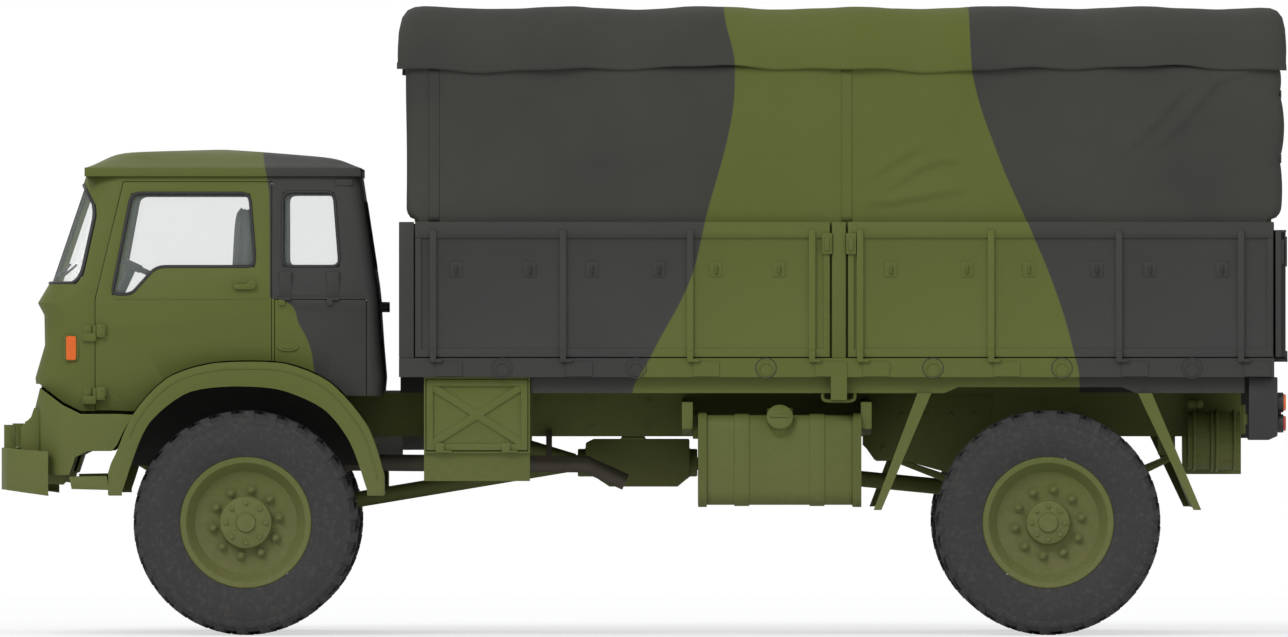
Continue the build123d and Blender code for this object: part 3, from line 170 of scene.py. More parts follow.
class Finish:
    """One procedural material on a Principled shader."""

    def __init__(self, name):
        self.material = bpy.data.materials.new(name)
        self.material.use_nodes = True
        self.tree = self.material.node_tree
        self.tree.nodes.clear()
        self.shader = self.tree.nodes.new("ShaderNodeBsdfPrincipled")
        self.output = self.tree.nodes.new("ShaderNodeOutputMaterial")
        self.tree.links.new(self.shader.outputs[0], self.output.inputs[0])
        self.place = None

    def node(self, kind, settings=None, inputs=None, output=0):
        """Adds a node, sets it up, feeds its sockets and gives the output that is asked for."""
        made = self.tree.nodes.new(kind)
        for key, value in (settings or {}).items():
            if key == "stops":
                ramp = made.color_ramp
                while len(ramp.elements) < len(value):
                    ramp.elements.new(0.5)
                for element, (position, colour) in zip(ramp.elements, value):
                    element.position = position
                    element.color = colour
            elif key == "curve":
                curve = made.mapping.curves[0]
                while len(curve.points) < len(value):
                    curve.points.new(0.5, 0.5)
                for point, location in zip(curve.points, value):
                    point.location = location
                    point.handle_type = "AUTO_CLAMPED"
                made.mapping.update()
            else:
                setattr(made, key, value)
        for key, value in (inputs or {}).items():
            self.feed(made.inputs[key], value)
        return Value(self, made.outputs[output])

    def feed(self, socket, value):
        """Links a value to a socket, or sets the socket to a number or colour."""
        if isinstance(value, Value):
            self.tree.links.new(value.socket, socket)
        elif isinstance(value, (tuple, list, Vector)) and len(value) == 3 and socket.type == "RGBA":
            socket.default_value = (*value, 1.0)
        elif hasattr(value, "__len__") and socket.type == "RGBA":
            socket.default_value = (*value[:3], 1.0)
        else:
            socket.default_value = value

    def set(self, **values):
        """Feeds the shader's sockets, named with underscores for spaces."""
        for key, value in values.items():
            self.feed(self.shader.inputs[key.replace("_", " ")], value)
        return self

    def where(self):
        """Object coordinates, shared by the whole material."""
        if self.place is None:
            self.place = self.node("ShaderNodeTexCoord", {}, {}, "Object")
        return self.place

    def axis(self, letter):
        """One of the three object coordinates."""
        return self.node("ShaderNodeSeparateXYZ", {}, {0: self.where()}, letter)

    def noise(self, scale, detail=3.0, rough=0.55, stretch=None):
        """Noise from 0 to 1, drawn out along the axes if a stretch is given."""
        place = self.where()
        if stretch:
            place = self.node("ShaderNodeMapping", {}, {"Vector": place, "Scale": stretch})
        return self.node("ShaderNodeTexNoise", {}, {"Vector": place, "Scale": scale, "Detail": detail,
                                                   "Roughness": rough}, "Fac")

    def mix(self, factor, low, high):
        """A colour between two colours."""
        return self.node("ShaderNodeMix", {"data_type": "RGBA"}, {0: factor, 6: low, 7: high}, 2)

    def bump(self, height, strength, distance):
        """A surface direction bent by a height."""
        return self.node("ShaderNodeBump", {},
                         {"Height": height, "Strength": strength, "Distance": distance}, "Normal")


def darker(colour, share):
    """The same colour with a share of its light."""
    return tuple(channel * share for channel in colour)


# ---- finishes ----
MATT = 0.16  # how strongly the matt finishes mirror the studio
DUST_FOOT, DUST_TOP = 0.35, 1.4  # heights between which the road dust fades out
# Edges of the black bands: height and place along the truck, in metres. The body and tilt turn green where
# the first one stands and black again at the second. The cab turns black behind the third.
BAND_FRONT = ((1.20, -0.058), (1.39, 0.028), (1.78, 0.228), (2.07, 0.303), (2.63, 0.443), (2.83, 0.453),
              (3.14, 0.403))
BAND_REAR = ((1.24, 2.178), (1.43, 2.143), (1.73, 2.053), (2.07, 1.913), (2.38, 1.778), (2.83, 1.638),
             (3.14, 1.628))
BAND_CAB = ((1.25, -1.645), (1.35, -1.653), (1.45, -1.673), (1.55, -1.722), (1.678, -1.807), (1.686, -1.872),
            (1.75, -1.872), (2.20, -1.874), (2.46, -1.908))
# Heights and places along the truck that the bands' curves span.
BAND_LOW, BAND_HIGH = 1.0, 3.3
BAND_X_LOW, BAND_X_HIGH = -3.3, 3.3
BAND_BLUR = 0.004  # half the width of a painted edge
BAND_WAVE = 0.05  # how far a painted edge wanders across the truck
BAND_REST = 0.89  # shifts the wave so that it is nothing on the truck's left side


def band_edge(finish, points):
    """Where a painted edge stands along the truck at each height."""
    span = BAND_HIGH - BAND_LOW
    reach = BAND_X_HIGH - BAND_X_LOW
    curve = [((z - BAND_LOW) / span, (x - BAND_X_LOW) / reach) for z, x in points]
    curve = [(0.0, curve[0][1])] + curve + [(1.0, curve[-1][1])]
    height = (finish.axis("Z") - BAND_LOW) / span
    share = finish.node("ShaderNodeFloatCurve", {"curve": curve}, {"Factor": 1.0, "Value": height})
    wave = (finish.axis("Y") * 1.7).math("SINE") * BAND_WAVE + BAND_WAVE * BAND_REST
    return share * reach + BAND_X_LOW + wave


def camouflage(finish, paint, cab):
    """Green with black bands that run over the cab, or over the load body and tilt."""
    x = finish.axis("X")

    def behind(points):
        """1 behind a painted edge and 0 in front of it."""
        return (x - band_edge(finish, points)).step(-BAND_BLUR, BAND_BLUR)
    if cab:
        black = behind(BAND_CAB)
    else:
        first, second = behind(BAND_FRONT), behind(BAND_REAR)
        black = 1 - first + second
    return finish.mix(black, tuple(paint.green), tuple(paint.black))


def worn(finish, colour):
    """Faint mottling and road dust low down."""
    mottle = finish.noise(2.3, 4.0)
    fine = finish.noise(38.0, 2.0)
    shade = finish.mix(mottle * 0.16, colour, (0.10, 0.105, 0.055))
    dust = (1 - finish.axis("Z").step(DUST_FOOT, DUST_TOP)) * fine * 0.35
    return finish.mix(dust, shade, (0.23, 0.19, 0.12))


def painted(name, paint, pattern=None):
    """Matt military paint with orange peel, chips of roughness and dust."""
    finish = Finish(name)
    colour = tuple(paint.green)
    if pattern:
        colour = camouflage(finish, paint, pattern == "cab")
    rough = finish.noise(9.0) * 0.18 + 0.52
    peel = finish.bump(finish.noise(420.0, 1.0), 0.10, 0.0008)
    finish.set(Base_Color=worn(finish, colour), Roughness=rough, Normal=peel, Specular_IOR_Level=MATT)
    return finish.material


def plain(name, colour, roughness=0.5, metallic=0.0, grain=60.0, depth=0.15, **more):
    """A single-coloured finish with its own fine variation."""
    finish = Finish(name)
    mottle = finish.noise(grain * 0.2, 3.0)
    shade = finish.mix(mottle * 0.5, tuple(colour), darker(colour, 0.62))
    bump = finish.bump(finish.noise(grain * 6, 2.0), depth, 0.0006)
    finish.set(Base_Color=shade, Roughness=mottle * 0.2 + roughness - 0.1, Metallic=metallic,
               Normal=bump, **more)
    return finish.material


def rubber(paint):
    """Tyre rubber, mottled and dusty in patches."""
    finish = Finish("tyre_rubber")
    mottle = finish.noise(7.0, 5.0)
    dust = finish.noise(46.0, 3.0).step(0.45, 0.75) * 0.22
    shade = finish.mix(mottle * 0.35, tuple(paint.rubber), darker(paint.rubber, 0.7))
    shade = finish.mix(dust, shade, (0.12, 0.10, 0.075))
    bump = finish.bump(finish.noise(260.0, 2.0), 0.25, 0.0008)
    return finish.set(Base_Color=shade, Roughness=0.78, Normal=bump, Specular_IOR_Level=MATT).material


def canvas(name, paint):
    """Woven cotton canvas: camouflage, weave, faded ridges and stains."""
    finish = Finish(name)
    colour = camouflage(finish, paint, False)
    fade = finish.noise(1.6, 5.0) * 0.24
    colour = finish.mix(fade, colour, (0.145, 0.145, 0.085))
    weave = finish.noise(700.0, 1.0)
    creases = finish.noise(5.5, 6.0, 0.6, (1.0, 1.0, 0.45))
    bump = finish.bump(weave * 0.05 + creases, 0.45, 0.012)
    rough = finish.noise(14.0) * 0.1 + 0.84
    return finish.set(Base_Color=colour, Roughness=rough, Normal=bump,
                      Specular_IOR_Level=MATT / 2).material


def glass(name, tint, alpha):
    """Tinted glass with faint smears."""
    finish = Finish(name)
    smear = finish.noise(3.0, 5.0)
    finish.set(Base_Color=tuple(tint), Roughness=smear * 0.08 + 0.03, Alpha=alpha, Coat_Weight=0.4)
    finish.shader.inputs["IOR"].default_value = 1.5
    finish.material.surface_render_method = "DITHERED"
    return finish.material


def boards(paint):
    """Painted deck boards, worn through to the wood in patches."""
    finish = Finish("deck_boards")
    board = finish.node("ShaderNodeTexWave", {"wave_type": "BANDS", "bands_direction": "Y"},
                        {"Vector": finish.where(), "Scale": 3.3, "Distortion": 0.0}, "Fac")
    gap = board.step(0.0, 0.04)
    grain = finish.noise(9.0, 6.0, 0.6, (0.3, 6.0, 1.0))
    wood = finish.mix(grain, (0.115, 0.075, 0.04), (0.20, 0.14, 0.08))
    wear = finish.noise(1.8, 4.0).step(0.42, 0.62)
    colour = finish.mix(wear, tuple(paint.green), wood)
    colour = finish.mix(gap, (0.02, 0.018, 0.012), colour)
    bump = finish.bump(gap + grain * 0.2, 0.5, 0.004)
    return finish.set(Base_Color=colour, Roughness=grain * 0.2 + 0.6, Normal=bump).material


def make_finishes(scene):
    """All finishes by name."""
    paint = scene.truck_paint
    return {
        "cab_paint": painted("cab_paint", paint, "cab"),
        "body_paint": painted("body_paint", paint, "body"),
        "frame_paint": painted("frame_paint", paint),
        "canvas": canvas("tilt_canvas", paint),
        "webbing": plain("webbing", (0.052, 0.056, 0.030), 0.85, grain=220.0, depth=0.5),
        "rubber": rubber(paint),
        # near-black rubber of the window seals, also used as painted shade in the gaps and round the ring
        # plates
        "seal": plain("black_seal_and_gap_shade", (0.018, 0.018, 0.018), 0.6, grain=90.0),
        "black_metal": plain("black_metal", (0.028, 0.028, 0.028), 0.45, 0.3),
        # near black for the wheel wells: painted shade
        "well": plain("wheel_well", (0.024, 0.023, 0.021), 0.9),
        "engine": plain("engine_metal", (0.09, 0.095, 0.08), 0.6, 0.4),
        "exhaust": plain("exhaust_steel", (0.10, 0.085, 0.065), 0.7, 0.6),
        "vinyl": plain("seat_vinyl", (0.022, 0.022, 0.021), 0.5, grain=120.0, depth=0.4),
        "plastic": plain("moulded_plastic", (0.022, 0.022, 0.022), 0.42, grain=150.0, depth=0.3),
        "boards": boards(paint),
        "glass": glass("cab_glass", (0.55, 0.62, 0.58), 0.10),
        "lens": glass("lamp_lens", (0.80, 0.82, 0.80), 0.35),
        "mirror": plain("lamp_mirror", (0.82, 0.83, 0.84), 0.12, 1.0, depth=0.02),
        "amber": plain("amber_lens", tuple(paint.amber), 0.22, depth=0.05, Coat_Weight=0.3),
        "red": plain("red_lens", tuple(paint.red), 0.22, depth=0.05, Coat_Weight=0.6),
    }


FINISHES = {}

# Finish of each frame node: the first prefix that fits is used, and any other node has the frame's paint.
NODE_FINISH = (
    ("cab_glass", "glass"), ("door_glass", "glass"), ("cab_shell", "cab_paint"), ("cab_roof", "cab_paint"),
    ("door_", "cab_paint"), ("engine_flap", "cab_paint"), ("engine_and_gearbox", "engine"),
    ("grille", "black_metal"), ("headlamps", "lens"), ("dashboard", "plastic"), ("steering", "plastic"),
    ("seat_bases", "black_metal"), ("seat_", "vinyl"), ("load_floor", "body_paint"),
    ("headboard", "body_paint"), ("body_posts", "body_paint"), ("drop_side", "body_paint"),
    ("tailboard", "body_paint"), ("tilt_canopy", "canvas"), ("tyre", "rubber"), ("exhaust", "exhaust"),
    ("rear_lamp_boxes", "black_metal"),
)


def node_finish(name):
    """The name of a frame node's finish."""
    return next((finish for prefix, finish in NODE_FINISH if name.startswith(prefix)), "frame_paint")


# ---- mesh helpers ----
def outwards(bm):
    """Turns every face of a mesh outwards."""
    bmesh.ops.recalc_face_normals(bm, faces=bm.faces)


def circle(count, turn=0.0):
    """Cosine and sine at even steps round a circle."""
    angles = [math.tau * (k + turn) / count for k in range(count)]
    return [(math.cos(angle), math.sin(angle)) for angle in angles]


def box(bm, low, high):
    """A block between two corners."""
    low, high = Vector(low), Vector(high)
    size = high - low
    matrix = Matrix.Translation((low + high) / 2) @ Matrix.Diagonal((*[abs(s) for s in size], 1))
    return bmesh.ops.create_cube(bm, size=1, matrix=matrix)["verts"]


def rod(bm, start, end, radius, segments=16, end_radius=None):
    """A round bar between two points, tapered if an end radius is given."""
    start, end = Vector(start), Vector(end)
    run = end - start
    turn = run.to_track_quat("Z", "Y").to_matrix().to_4x4()
    bmesh.ops.create_cone(bm, cap_ends=True, segments=segments, radius1=radius,
                          radius2=radius if end_radius is None else end_radius, depth=run.length,
                          matrix=Matrix.Translation((start + end) / 2) @ turn)


def soften(bm, width, segments=2, angle=0.6):
    """Bevels every edge sharper than an angle."""
    bm.normal_update()
    edges = [e for e in bm.edges if len(e.link_faces) == 2 and e.calc_face_angle(0) > angle]
    bmesh.ops.bevel(bm, geom=edges, offset=width, offset_type="OFFSET", affect="EDGES", segments=segments,
                    profile=0.5, material=-1, clamp_overlap=True)


def turned(bm, profile, steps):
    """Spins a closed (offset along Y, radius) profile about the Y axis."""
    points = [bm.verts.new((0, out, r)) for out, r in profile]
    edges = [bm.edges.new((points[i], points[(i + 1) % len(points)])) for i in range(len(points))]
    bmesh.ops.spin(bm, geom=points + edges, cent=(0, 0, 0), axis=(0, 1, 0), angle=math.tau, steps=steps,
                   use_merge=True)
    bmesh.ops.remove_doubles(bm, verts=bm.verts, dist=1e-6)
    outwards(bm)


def tube(bm, points, radius, segments=10, closed=False):
    """A round cord, rail or seal swept along points."""
    points = [Vector(p) for p in points]
    count = len(points)
    rings = []
    normal = None
    for place, point in enumerate(points):
        ahead = points[(place + 1) % count] if closed or place < count - 1 else point
        back = points[place - 1] if closed or place > 0 else point
        run = (ahead - back).normalized()
        if normal is None:
            normal = run.orthogonal()
        normal = (normal - run * normal.dot(run)).normalized()
        other = run.cross(normal)
        ring = []
        for k in range(segments):
            angle = math.tau * k / segments
            ring.append(bm.verts.new(point + (normal * math.cos(angle) + other * math.sin(angle)) * radius))
        rings.append(ring)
    shift = 0
    if closed:
        start = rings[-1][0].co
        shift = min(range(segments), key=lambda k: (rings[0][k].co - start).length)
    for place in range(count if closed else count - 1):
        first = rings[place]
        second = rings[(place + 1) % count]
        turn = shift if place == count - 1 else 0
        for k in range(segments):
            after = (k + 1) % segments
            bm.faces.new((first[k], first[after], second[(after + turn) % segments],
                          second[(k + turn) % segments]))
    if not closed:
        bm.faces.new(rings[0][::-1])
        bm.faces.new(rings[-1])


def eased(points, radius, closed=True, steps=4):
    """The same line with its corners turned into short arcs."""
    drawn = []
    count = len(points)
    for place, point in enumerate(points):
        here = Vector(point)
        if not closed and place in (0, count - 1):
            drawn.append(here)
            continue
        back = Vector(points[place - 1]) - here
        ahead = Vector(points[(place + 1) % count]) - here
        if back.angle(ahead) > 2.95:
            drawn.append(here)
            continue
        start = here + back.normalized() * min(radius, back.length * 0.45)
        end = here + ahead.normalized() * min(radius, ahead.length * 0.45)
        for step in range(steps + 1):
            t = step / steps
            drawn.append(start.lerp(here, t).lerp(here.lerp(end, t), t))
    return drawn


def sphere(bm, centre, radius, squash=(1, 1, 1), segments=16):
    """A ball, or a dome when it is squashed."""
    matrix = Matrix.Translation(centre) @ Matrix.Diagonal((*squash, 1))
    bmesh.ops.create_uvsphere(bm, u_segments=segments, v_segments=segments // 2, radius=radius,
                              matrix=matrix)


def outline_plate(bm, points, side, low, high):
    """A plate from an (x, z) outline between two distances from the middle, on one side."""
    inner = [bm.verts.new((x, side * low, z)) for x, z in points]
    outer = [bm.verts.new((x, side * high, z)) for x, z in points]
    bm.faces.new(inner)
    bm.faces.new(outer[::-1])
    for place in range(len(points)):
        after = (place + 1) % len(points)
        bm.faces.new((inner[place], outer[place], outer[after], inner[after]))
    outwards(bm)


def copy_into(bm, part, matrix=Matrix.Identity(4)):
    """Adds a copy of one small mesh, turned or not, to a bigger one."""
    mesh = bpy.data.meshes.new("part")
    part.to_mesh(mesh)
    before = len(bm.verts)
    bm.from_mesh(mesh)
    bpy.data.meshes.remove(mesh)
    bm.verts.ensure_lookup_table()
    bmesh.ops.transform(bm, matrix=matrix, verts=bm.verts[before:])


def finish_piece(name, bm, body, finish, replaces=(), smooth=35):
    """Makes an object of a bmesh, paints it and lets it ride on a body. Faces that meet at less than the
    smooth angle, in degrees, are shaded as one."""
    mesh = bpy.data.meshes.new(name)
    bm.normal_update()
    bm.to_mesh(mesh)
    bm.free()
    mesh.materials.append(FINISHES[finish])
    mesh.polygons.foreach_set("use_smooth", [True] * len(mesh.polygons))
    mesh.set_sharp_from_angle(angle=math.radians(smooth))
    piece = bpy.data.objects.new(name, mesh)
    bpy.context.scene.collection.objects.link(piece)
    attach(piece, body)
    if replaces:
        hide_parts(*replaces)
    return piece


SKINS = {}  # ray-cast trees of the nodes that surface() was asked for


def surface(names, x, z, side):
    """How far out the skin of some nodes reaches at a place on one side."""
    far = 0.0
    for name in names:
        if name not in SKINS:
            bm = bmesh.new()
            bm.from_mesh(frame["nodes"][name].data)
            SKINS[name] = BVHTree.FromBMesh(bm)
            bm.free()
        place = SKINS[name].ray_cast(Vector((x, side * 3.0, z)), Vector((0, -side, 0)))[0]
        if place:
            far = max(far, side * place.y)
    return far


def round_across(bm, width, low, high, where, segments=4):
    """Turns the corners between flats that run across the truck into arcs."""
    bm.normal_update()
    chosen = []
    for edge in bm.edges:
        if len(edge.link_faces) != 2 or not low < edge.calc_face_angle(0) < high:
            continue
        run = edge.verts[1].co - edge.verts[0].co
        if abs(run.y) < run.length * 0.985 or not where((edge.verts[0].co + edge.verts[1].co) / 2):
            continue
        chosen.append(edge)
    if chosen:
        bmesh.ops.bevel(bm, geom=chosen, offset=width, offset_type="OFFSET", affect="EDGES",
                        segments=segments, profile=0.5, material=-1, clamp_overlap=True)


def sides():
    """The left side, then the right one, as a name and a sign on Y."""
    return (("left", -1), ("right", 1))


# ---- paint on the frame's nodes ----
class TRUCK_OT_paint(bpy.types.Operator):
    """Gives every node of the frame its finish"""
    bl_idname = "truck.paint"
    bl_label = "Paint"

    def execute(self, context):
        FINISHES.clear()
        FINISHES.update(make_finishes(context.scene))
        for name, node in frame["nodes"].items():
            node.data.materials.clear()
            node.data.materials.append(FINISHES[node_finish(name)])
        return {"FINISHED"}


# ---- tyres and wheels ----
PLACES = ("front_left", "front_right", "rear_left", "rear_right")
# Pressed wheel: half its width, radii of its rim, of the lip inside the rim and of the disc.
WHEEL_HALF, RIM_RADIUS, LIP_RADIUS, DISC_RADIUS = 0.133, 0.3295, 0.292, 0.262
# How far the disc's and the hub's faces stand outboard of the tyre's middle.
DISC_FACE, HUB_FACE = 0.062, 0.116


def tyre_profile(half, tread, outer, line, bead, bead_half, height):
    """Half-section of a tyre, tread base first, as (offset, radius)."""
    base = outer - height
    right = [(tread * 0.55, base + 0.002), (tread, base), (half * 0.97, base - 0.022),
             (half, line + 0.006), (half - 0.002, line), (half, line - 0.006), (half, line - 0.06),
             (half * 0.985, bead + 0.075), (bead_half + 0.008, bead + 0.02), (bead_half, bead + 0.001)]
    return right + [(-out, r) for out, r in reversed(right)]


def add_lugs(bm, sizes, half, tread, outer):
    """Bars from the middle of the tread over each shoulder, staggered from side to side."""
    base = outer - sizes.lug_height - 0.004
    for side in (-1, 1):
        lug = bmesh.new()
        run = sizes.lug_length / 2
        box(lug, (-run, 0.006, base), (run, tread, outer))
        shoulder = [v for v in lug.verts if v.co.y > 0.01 and v.co.z > base + 0.01]
        outerside = box(lug, (-run, tread, base - 0.048), (run, half, outer - 0.006))
        for v in outerside:
            if v.co.z > base and v.co.y > tread + 0.01:
                v.co.z = outer - 0.044
            if v.co.y > tread + 0.01:
                v.co.x *= 0.86
            if v.co.z < base and v.co.y < tread + 0.01:
                v.co.z = base
        for v in shoulder:
            v.co.z -= 0.003
        bmesh.ops.remove_doubles(lug, verts=lug.verts, dist=0.004)
        soften(lug, 0.004, 1)
        for v in lug.verts:
            v.co.x += (v.co.y - tread * 0.5) * 0.28
        if side < 0:
            bmesh.ops.mirror(lug, geom=lug.verts[:] + lug.edges[:] + lug.faces[:], axis="Y", merge_dist=0)
            bmesh.ops.delete(lug, geom=[v for v in lug.verts if v.co.y > 0], context="VERTS")
            outwards(lug)
        for count in range(sizes.lugs):
            angle = math.tau * (count + (0.5 if side > 0 else 0)) / sizes.lugs
            copy_into(bm, lug, Matrix.Rotation(angle, 4, "Y"))
        lug.free()


class TRUCK_OT_tyres(bpy.types.Operator):
    """Builds the four bar-tread tyres"""
    bl_idname = "truck.tyres"
    bl_label = "Tyres"

    def execute(self, context):
        sizes = context.scene.truck_tyres
        for place in PLACES:
            node = f"tyre_{place}"
            low, high = corners(node)
            centre = (low + high) / 2
            half = (high.y - low.y) / 2
            outer = (high.z - low.z) / 2
            rim_low, rim_high = corners(f"wheel_{place}")
            bead = (rim_high.z - rim_low.z) / 2
            bead_half = (rim_high.y - rim_low.y) / 2
            bm = bmesh.new()
            tread = half * 0.8
            profile = tyre_profile(half, tread, outer, sizes.line_radius, bead, bead_half, sizes.lug_height)
            turned(bm, profile, 120)
            add_lugs(bm, sizes, half, tread, outer)
            bmesh.ops.translate(bm, verts=bm.verts, vec=centre)
            finish_piece(f"tyre_tread_{place}", bm, f"wheel_{place}", "rubber", [node], 30)
        return {"FINISHED"}


def wheel_profile(half, rim, lip, disc, face, hub, hub_face):
    """Closed section of a pressed wheel and hub, outboard side first, as (offset, radius)."""
    return [(hub_face, 0.0001), (hub_face, hub - 0.012), (hub_face - 0.004, hub - 0.004),
            (hub_face - 0.012, hub), (face + 0.006, hub + 0.002), (face, hub + 0.009), (face, disc - 0.02),
            (face + 0.004, disc - 0.006), (face + 0.014, disc), (half - 0.03, lip - 0.008),
            (half - 0.012, lip), (half - 0.003, lip + 0.008), (half, rim - 0.006), (half - 0.004, rim),
            (-half + 0.004, rim), (-half, rim - 0.006), (-half + 0.004, rim - 0.018),
            (half - 0.035, rim - 0.018), (face - 0.010, disc - 0.012), (face - 0.016, disc - 0.03),
            (face - 0.016, 0.0001)]


class TRUCK_OT_wheels(bpy.types.Operator):
    """Turns the pressed wheels and fits their nuts, studs and hub plates"""
    bl_idname = "truck.wheels"
    bl_label = "Wheels"

    def execute(self, context):
        sizes = context.scene.truck_tyres
        for place in PLACES:
            node = f"wheel_{place}"
            low, high = corners(node)
            centre = (low + high) / 2
            side = -1 if "left" in place else 1
            low_tyre, high_tyre = corners(f"tyre_{place}")
            centre.y = (low_tyre.y + high_tyre.y) / 2
            bm = bmesh.new()
            hub_r = sizes.front_hub if "front" in place else sizes.rear_hub
            turned(bm, wheel_profile(WHEEL_HALF, RIM_RADIUS, LIP_RADIUS, DISC_RADIUS, DISC_FACE, hub_r,
                                     HUB_FACE), 96)
            if side < 0:
                bmesh.ops.scale(bm, vec=(1, -1, 1), verts=bm.verts)
                outwards(bm)
            bmesh.ops.translate(bm, verts=bm.verts, vec=centre)
            self.nuts(bm, sizes, centre, side, centre.y + side * DISC_FACE)
            self.hub(bm, centre, side, centre.y + side * HUB_FACE, hub_r)
            finish_piece(f"wheel_disc_{place}", bm, node, "frame_paint", [node], 30)
        return {"FINISHED"}

    def nuts(self, bm, sizes, centre, side, face):
        """A washer, nut and stud's end for each place on the nut circle."""
        for cosine, sine in circle(sizes.nuts, 0.25):
            x = centre.x + sizes.nut_circle * cosine
            z = centre.z + sizes.nut_circle * sine
            rod(bm, (x, face - side * 0.001, z), (x, face + side * 0.006, z), 0.026, 20)
            rod(bm, (x, face, z), (x, face + side * 0.026, z), 0.0185, 6)
            rod(bm, (x, face, z), (x, face + side * 0.036, z), 0.010, 12)

    def hub(self, bm, centre, side, face, hub_r):
        """Bolts round the hub's face and its nose cap."""
        for cosine, sine in circle(8):
            x = centre.x + hub_r * 0.76 * cosine
            z = centre.z + hub_r * 0.76 * sine
            rod(bm, (x, face - side * 0.001, z), (x, face + side * 0.009, z), 0.011, 6)
        nose = (centre.x, face - side * 0.001, centre.z)
        rod(bm, nose, (centre.x, face + side * 0.012, centre.z), 0.052, 32, 0.046)


# ---- tilt ----
EAVES = 2.8325  # height of the roof sheet's hem
ROOF_BAYS = 6  # spans between the bows
CURTAIN_INSET = 0.031  # how far the side curtains hang inside the tilt's full width
CURTAIN_CORNER = 0.063  # how far from a corner the curtain starts to turn
# Side view of the roof sheet: distance from its own end, and share of its height, for the front and the rear.
ROOF_FRONT_END = ((0.049, 0.0), (0.021, 0.12), (0.006, 0.28), (0.001, 0.46), (0.004, 0.64),
                  (0.018, 0.82), (0.045, 0.935), (0.082, 0.985), (0.13, 1.0))
ROOF_REAR_END = ((0.042, 0.0), (0.013, 0.14), (0.003, 0.32), (0.001, 0.5), (0.005, 0.68),
                 (0.018, 0.85), (0.042, 0.95), (0.072, 0.99), (0.12, 1.0))
# Sharp folds in the side curtains: places along the truck and heights, in metres.
CREASES = (
    ((1.081, 2.256), (1.24, 2.365), (1.34, 2.42), (1.432, 2.463)),
    ((1.126, 2.201), (1.24, 2.247), (1.37, 2.335), (1.47, 2.372), (1.54, 2.377), (1.582, 2.359)),
    ((1.078, 2.161), (1.24, 2.172), (1.45, 2.207), (1.635, 2.249)),
    ((2.381, 2.399), (2.50, 2.495), (2.62, 2.635), (2.70, 2.725), (2.786, 2.785)),
    ((2.532, 2.431), (2.65, 2.515), (2.77, 2.655), (2.853, 2.762), (2.95, 2.80), (3.075, 2.846)),
)
SEAMS = (-1.0525, 1.0115)  # places along the truck where the side curtains join
REAR_TIES = (2.706, 2.3845)  # heights of the straps across the rear curtain
TUCKED = 0.085  # length of the curtain that hangs behind the boards


def tilt_section(low_y, eaves, top, steps):
    """Half arch of the tilt roof from the eaves to the crown, as (y, z) at even steps."""
    control = [(low_y, eaves), (low_y, eaves + 0.07), (low_y - 0.02, eaves + 0.19),
               (low_y - 0.13, top - 0.03), (low_y - 0.36, top - 0.003), (0.0, top)]
    smooth = []
    for step in range(steps + 1):
        t = step / steps * (len(control) - 1)
        k = min(int(t), len(control) - 2)
        a, b = Vector(control[k]), Vector(control[k + 1])
        smooth.append(a.lerp(b, t - k))
    for _ in range(6):
        inner = [(smooth[i - 1] + smooth[i] * 2 + smooth[i + 1]) / 4 for i in range(1, len(smooth) - 1)]
        smooth = [smooth[0]] + inner + [smooth[-1]]
    return smooth


def refined(points, pitch):
    """A line through points, cut into steps no longer than a pitch."""
    drawn = [Vector(points[0])]
    for a, b in zip(points, points[1:]):
        a, b = Vector(a), Vector(b)
        count = max(1, math.ceil((b - a).length / pitch))
        for step in range(1, count + 1):
            drawn.append(a.lerp(b, step / count))
    return drawn


def crease_height(x, z, depth):
    """How far a sharp fold lifts the cloth at a place on the side curtain."""
    lift = 0.0
    for crease in CREASES:
        total = len(crease) - 1
        for place, (a, b) in enumerate(zip(crease, crease[1:])):
            a, b = Vector(a), Vector(b)
            run = b - a
            share = ((x - a.x) * run.x + (z - a.y) * run.y) / run.length_squared
            if -0.02 <= share <= 1.0:
                across = ((z - a.y) * run.x - (x - a.x) * run.y) / run.length
                ends = math.sin(math.pi * min(max((place + share) / total, 0), 1)) ** 0.5
                if across >= 0:
                    lift = max(lift, ends * depth * math.exp(-across / 0.045))
                elif across > -0.014:
                    lift = max(lift, ends * depth * (1 + across / 0.014))
    return lift


def grid_sheet(rows, closed=False):
    """A bmesh sheet through rows of points of the same length."""
    bm = bmesh.new()
    made = [[bm.verts.new(point) for point in row] for row in rows]
    for low, high in zip(made, made[1:]):
        for k in range(len(low) if closed else len(low) - 1):
            after = (k + 1) % len(low)
            bm.faces.new((low[k], low[after], high[after], high[k]))
    outwards(bm)
    return bm


def thicken(piece, thickness):
    """Gives a sheet the thickness of its cloth, on its inner side."""
    wall = piece.modifiers.new("cloth thickness", "SOLIDIFY")
    wall.thickness = thickness
    wall.offset = -1


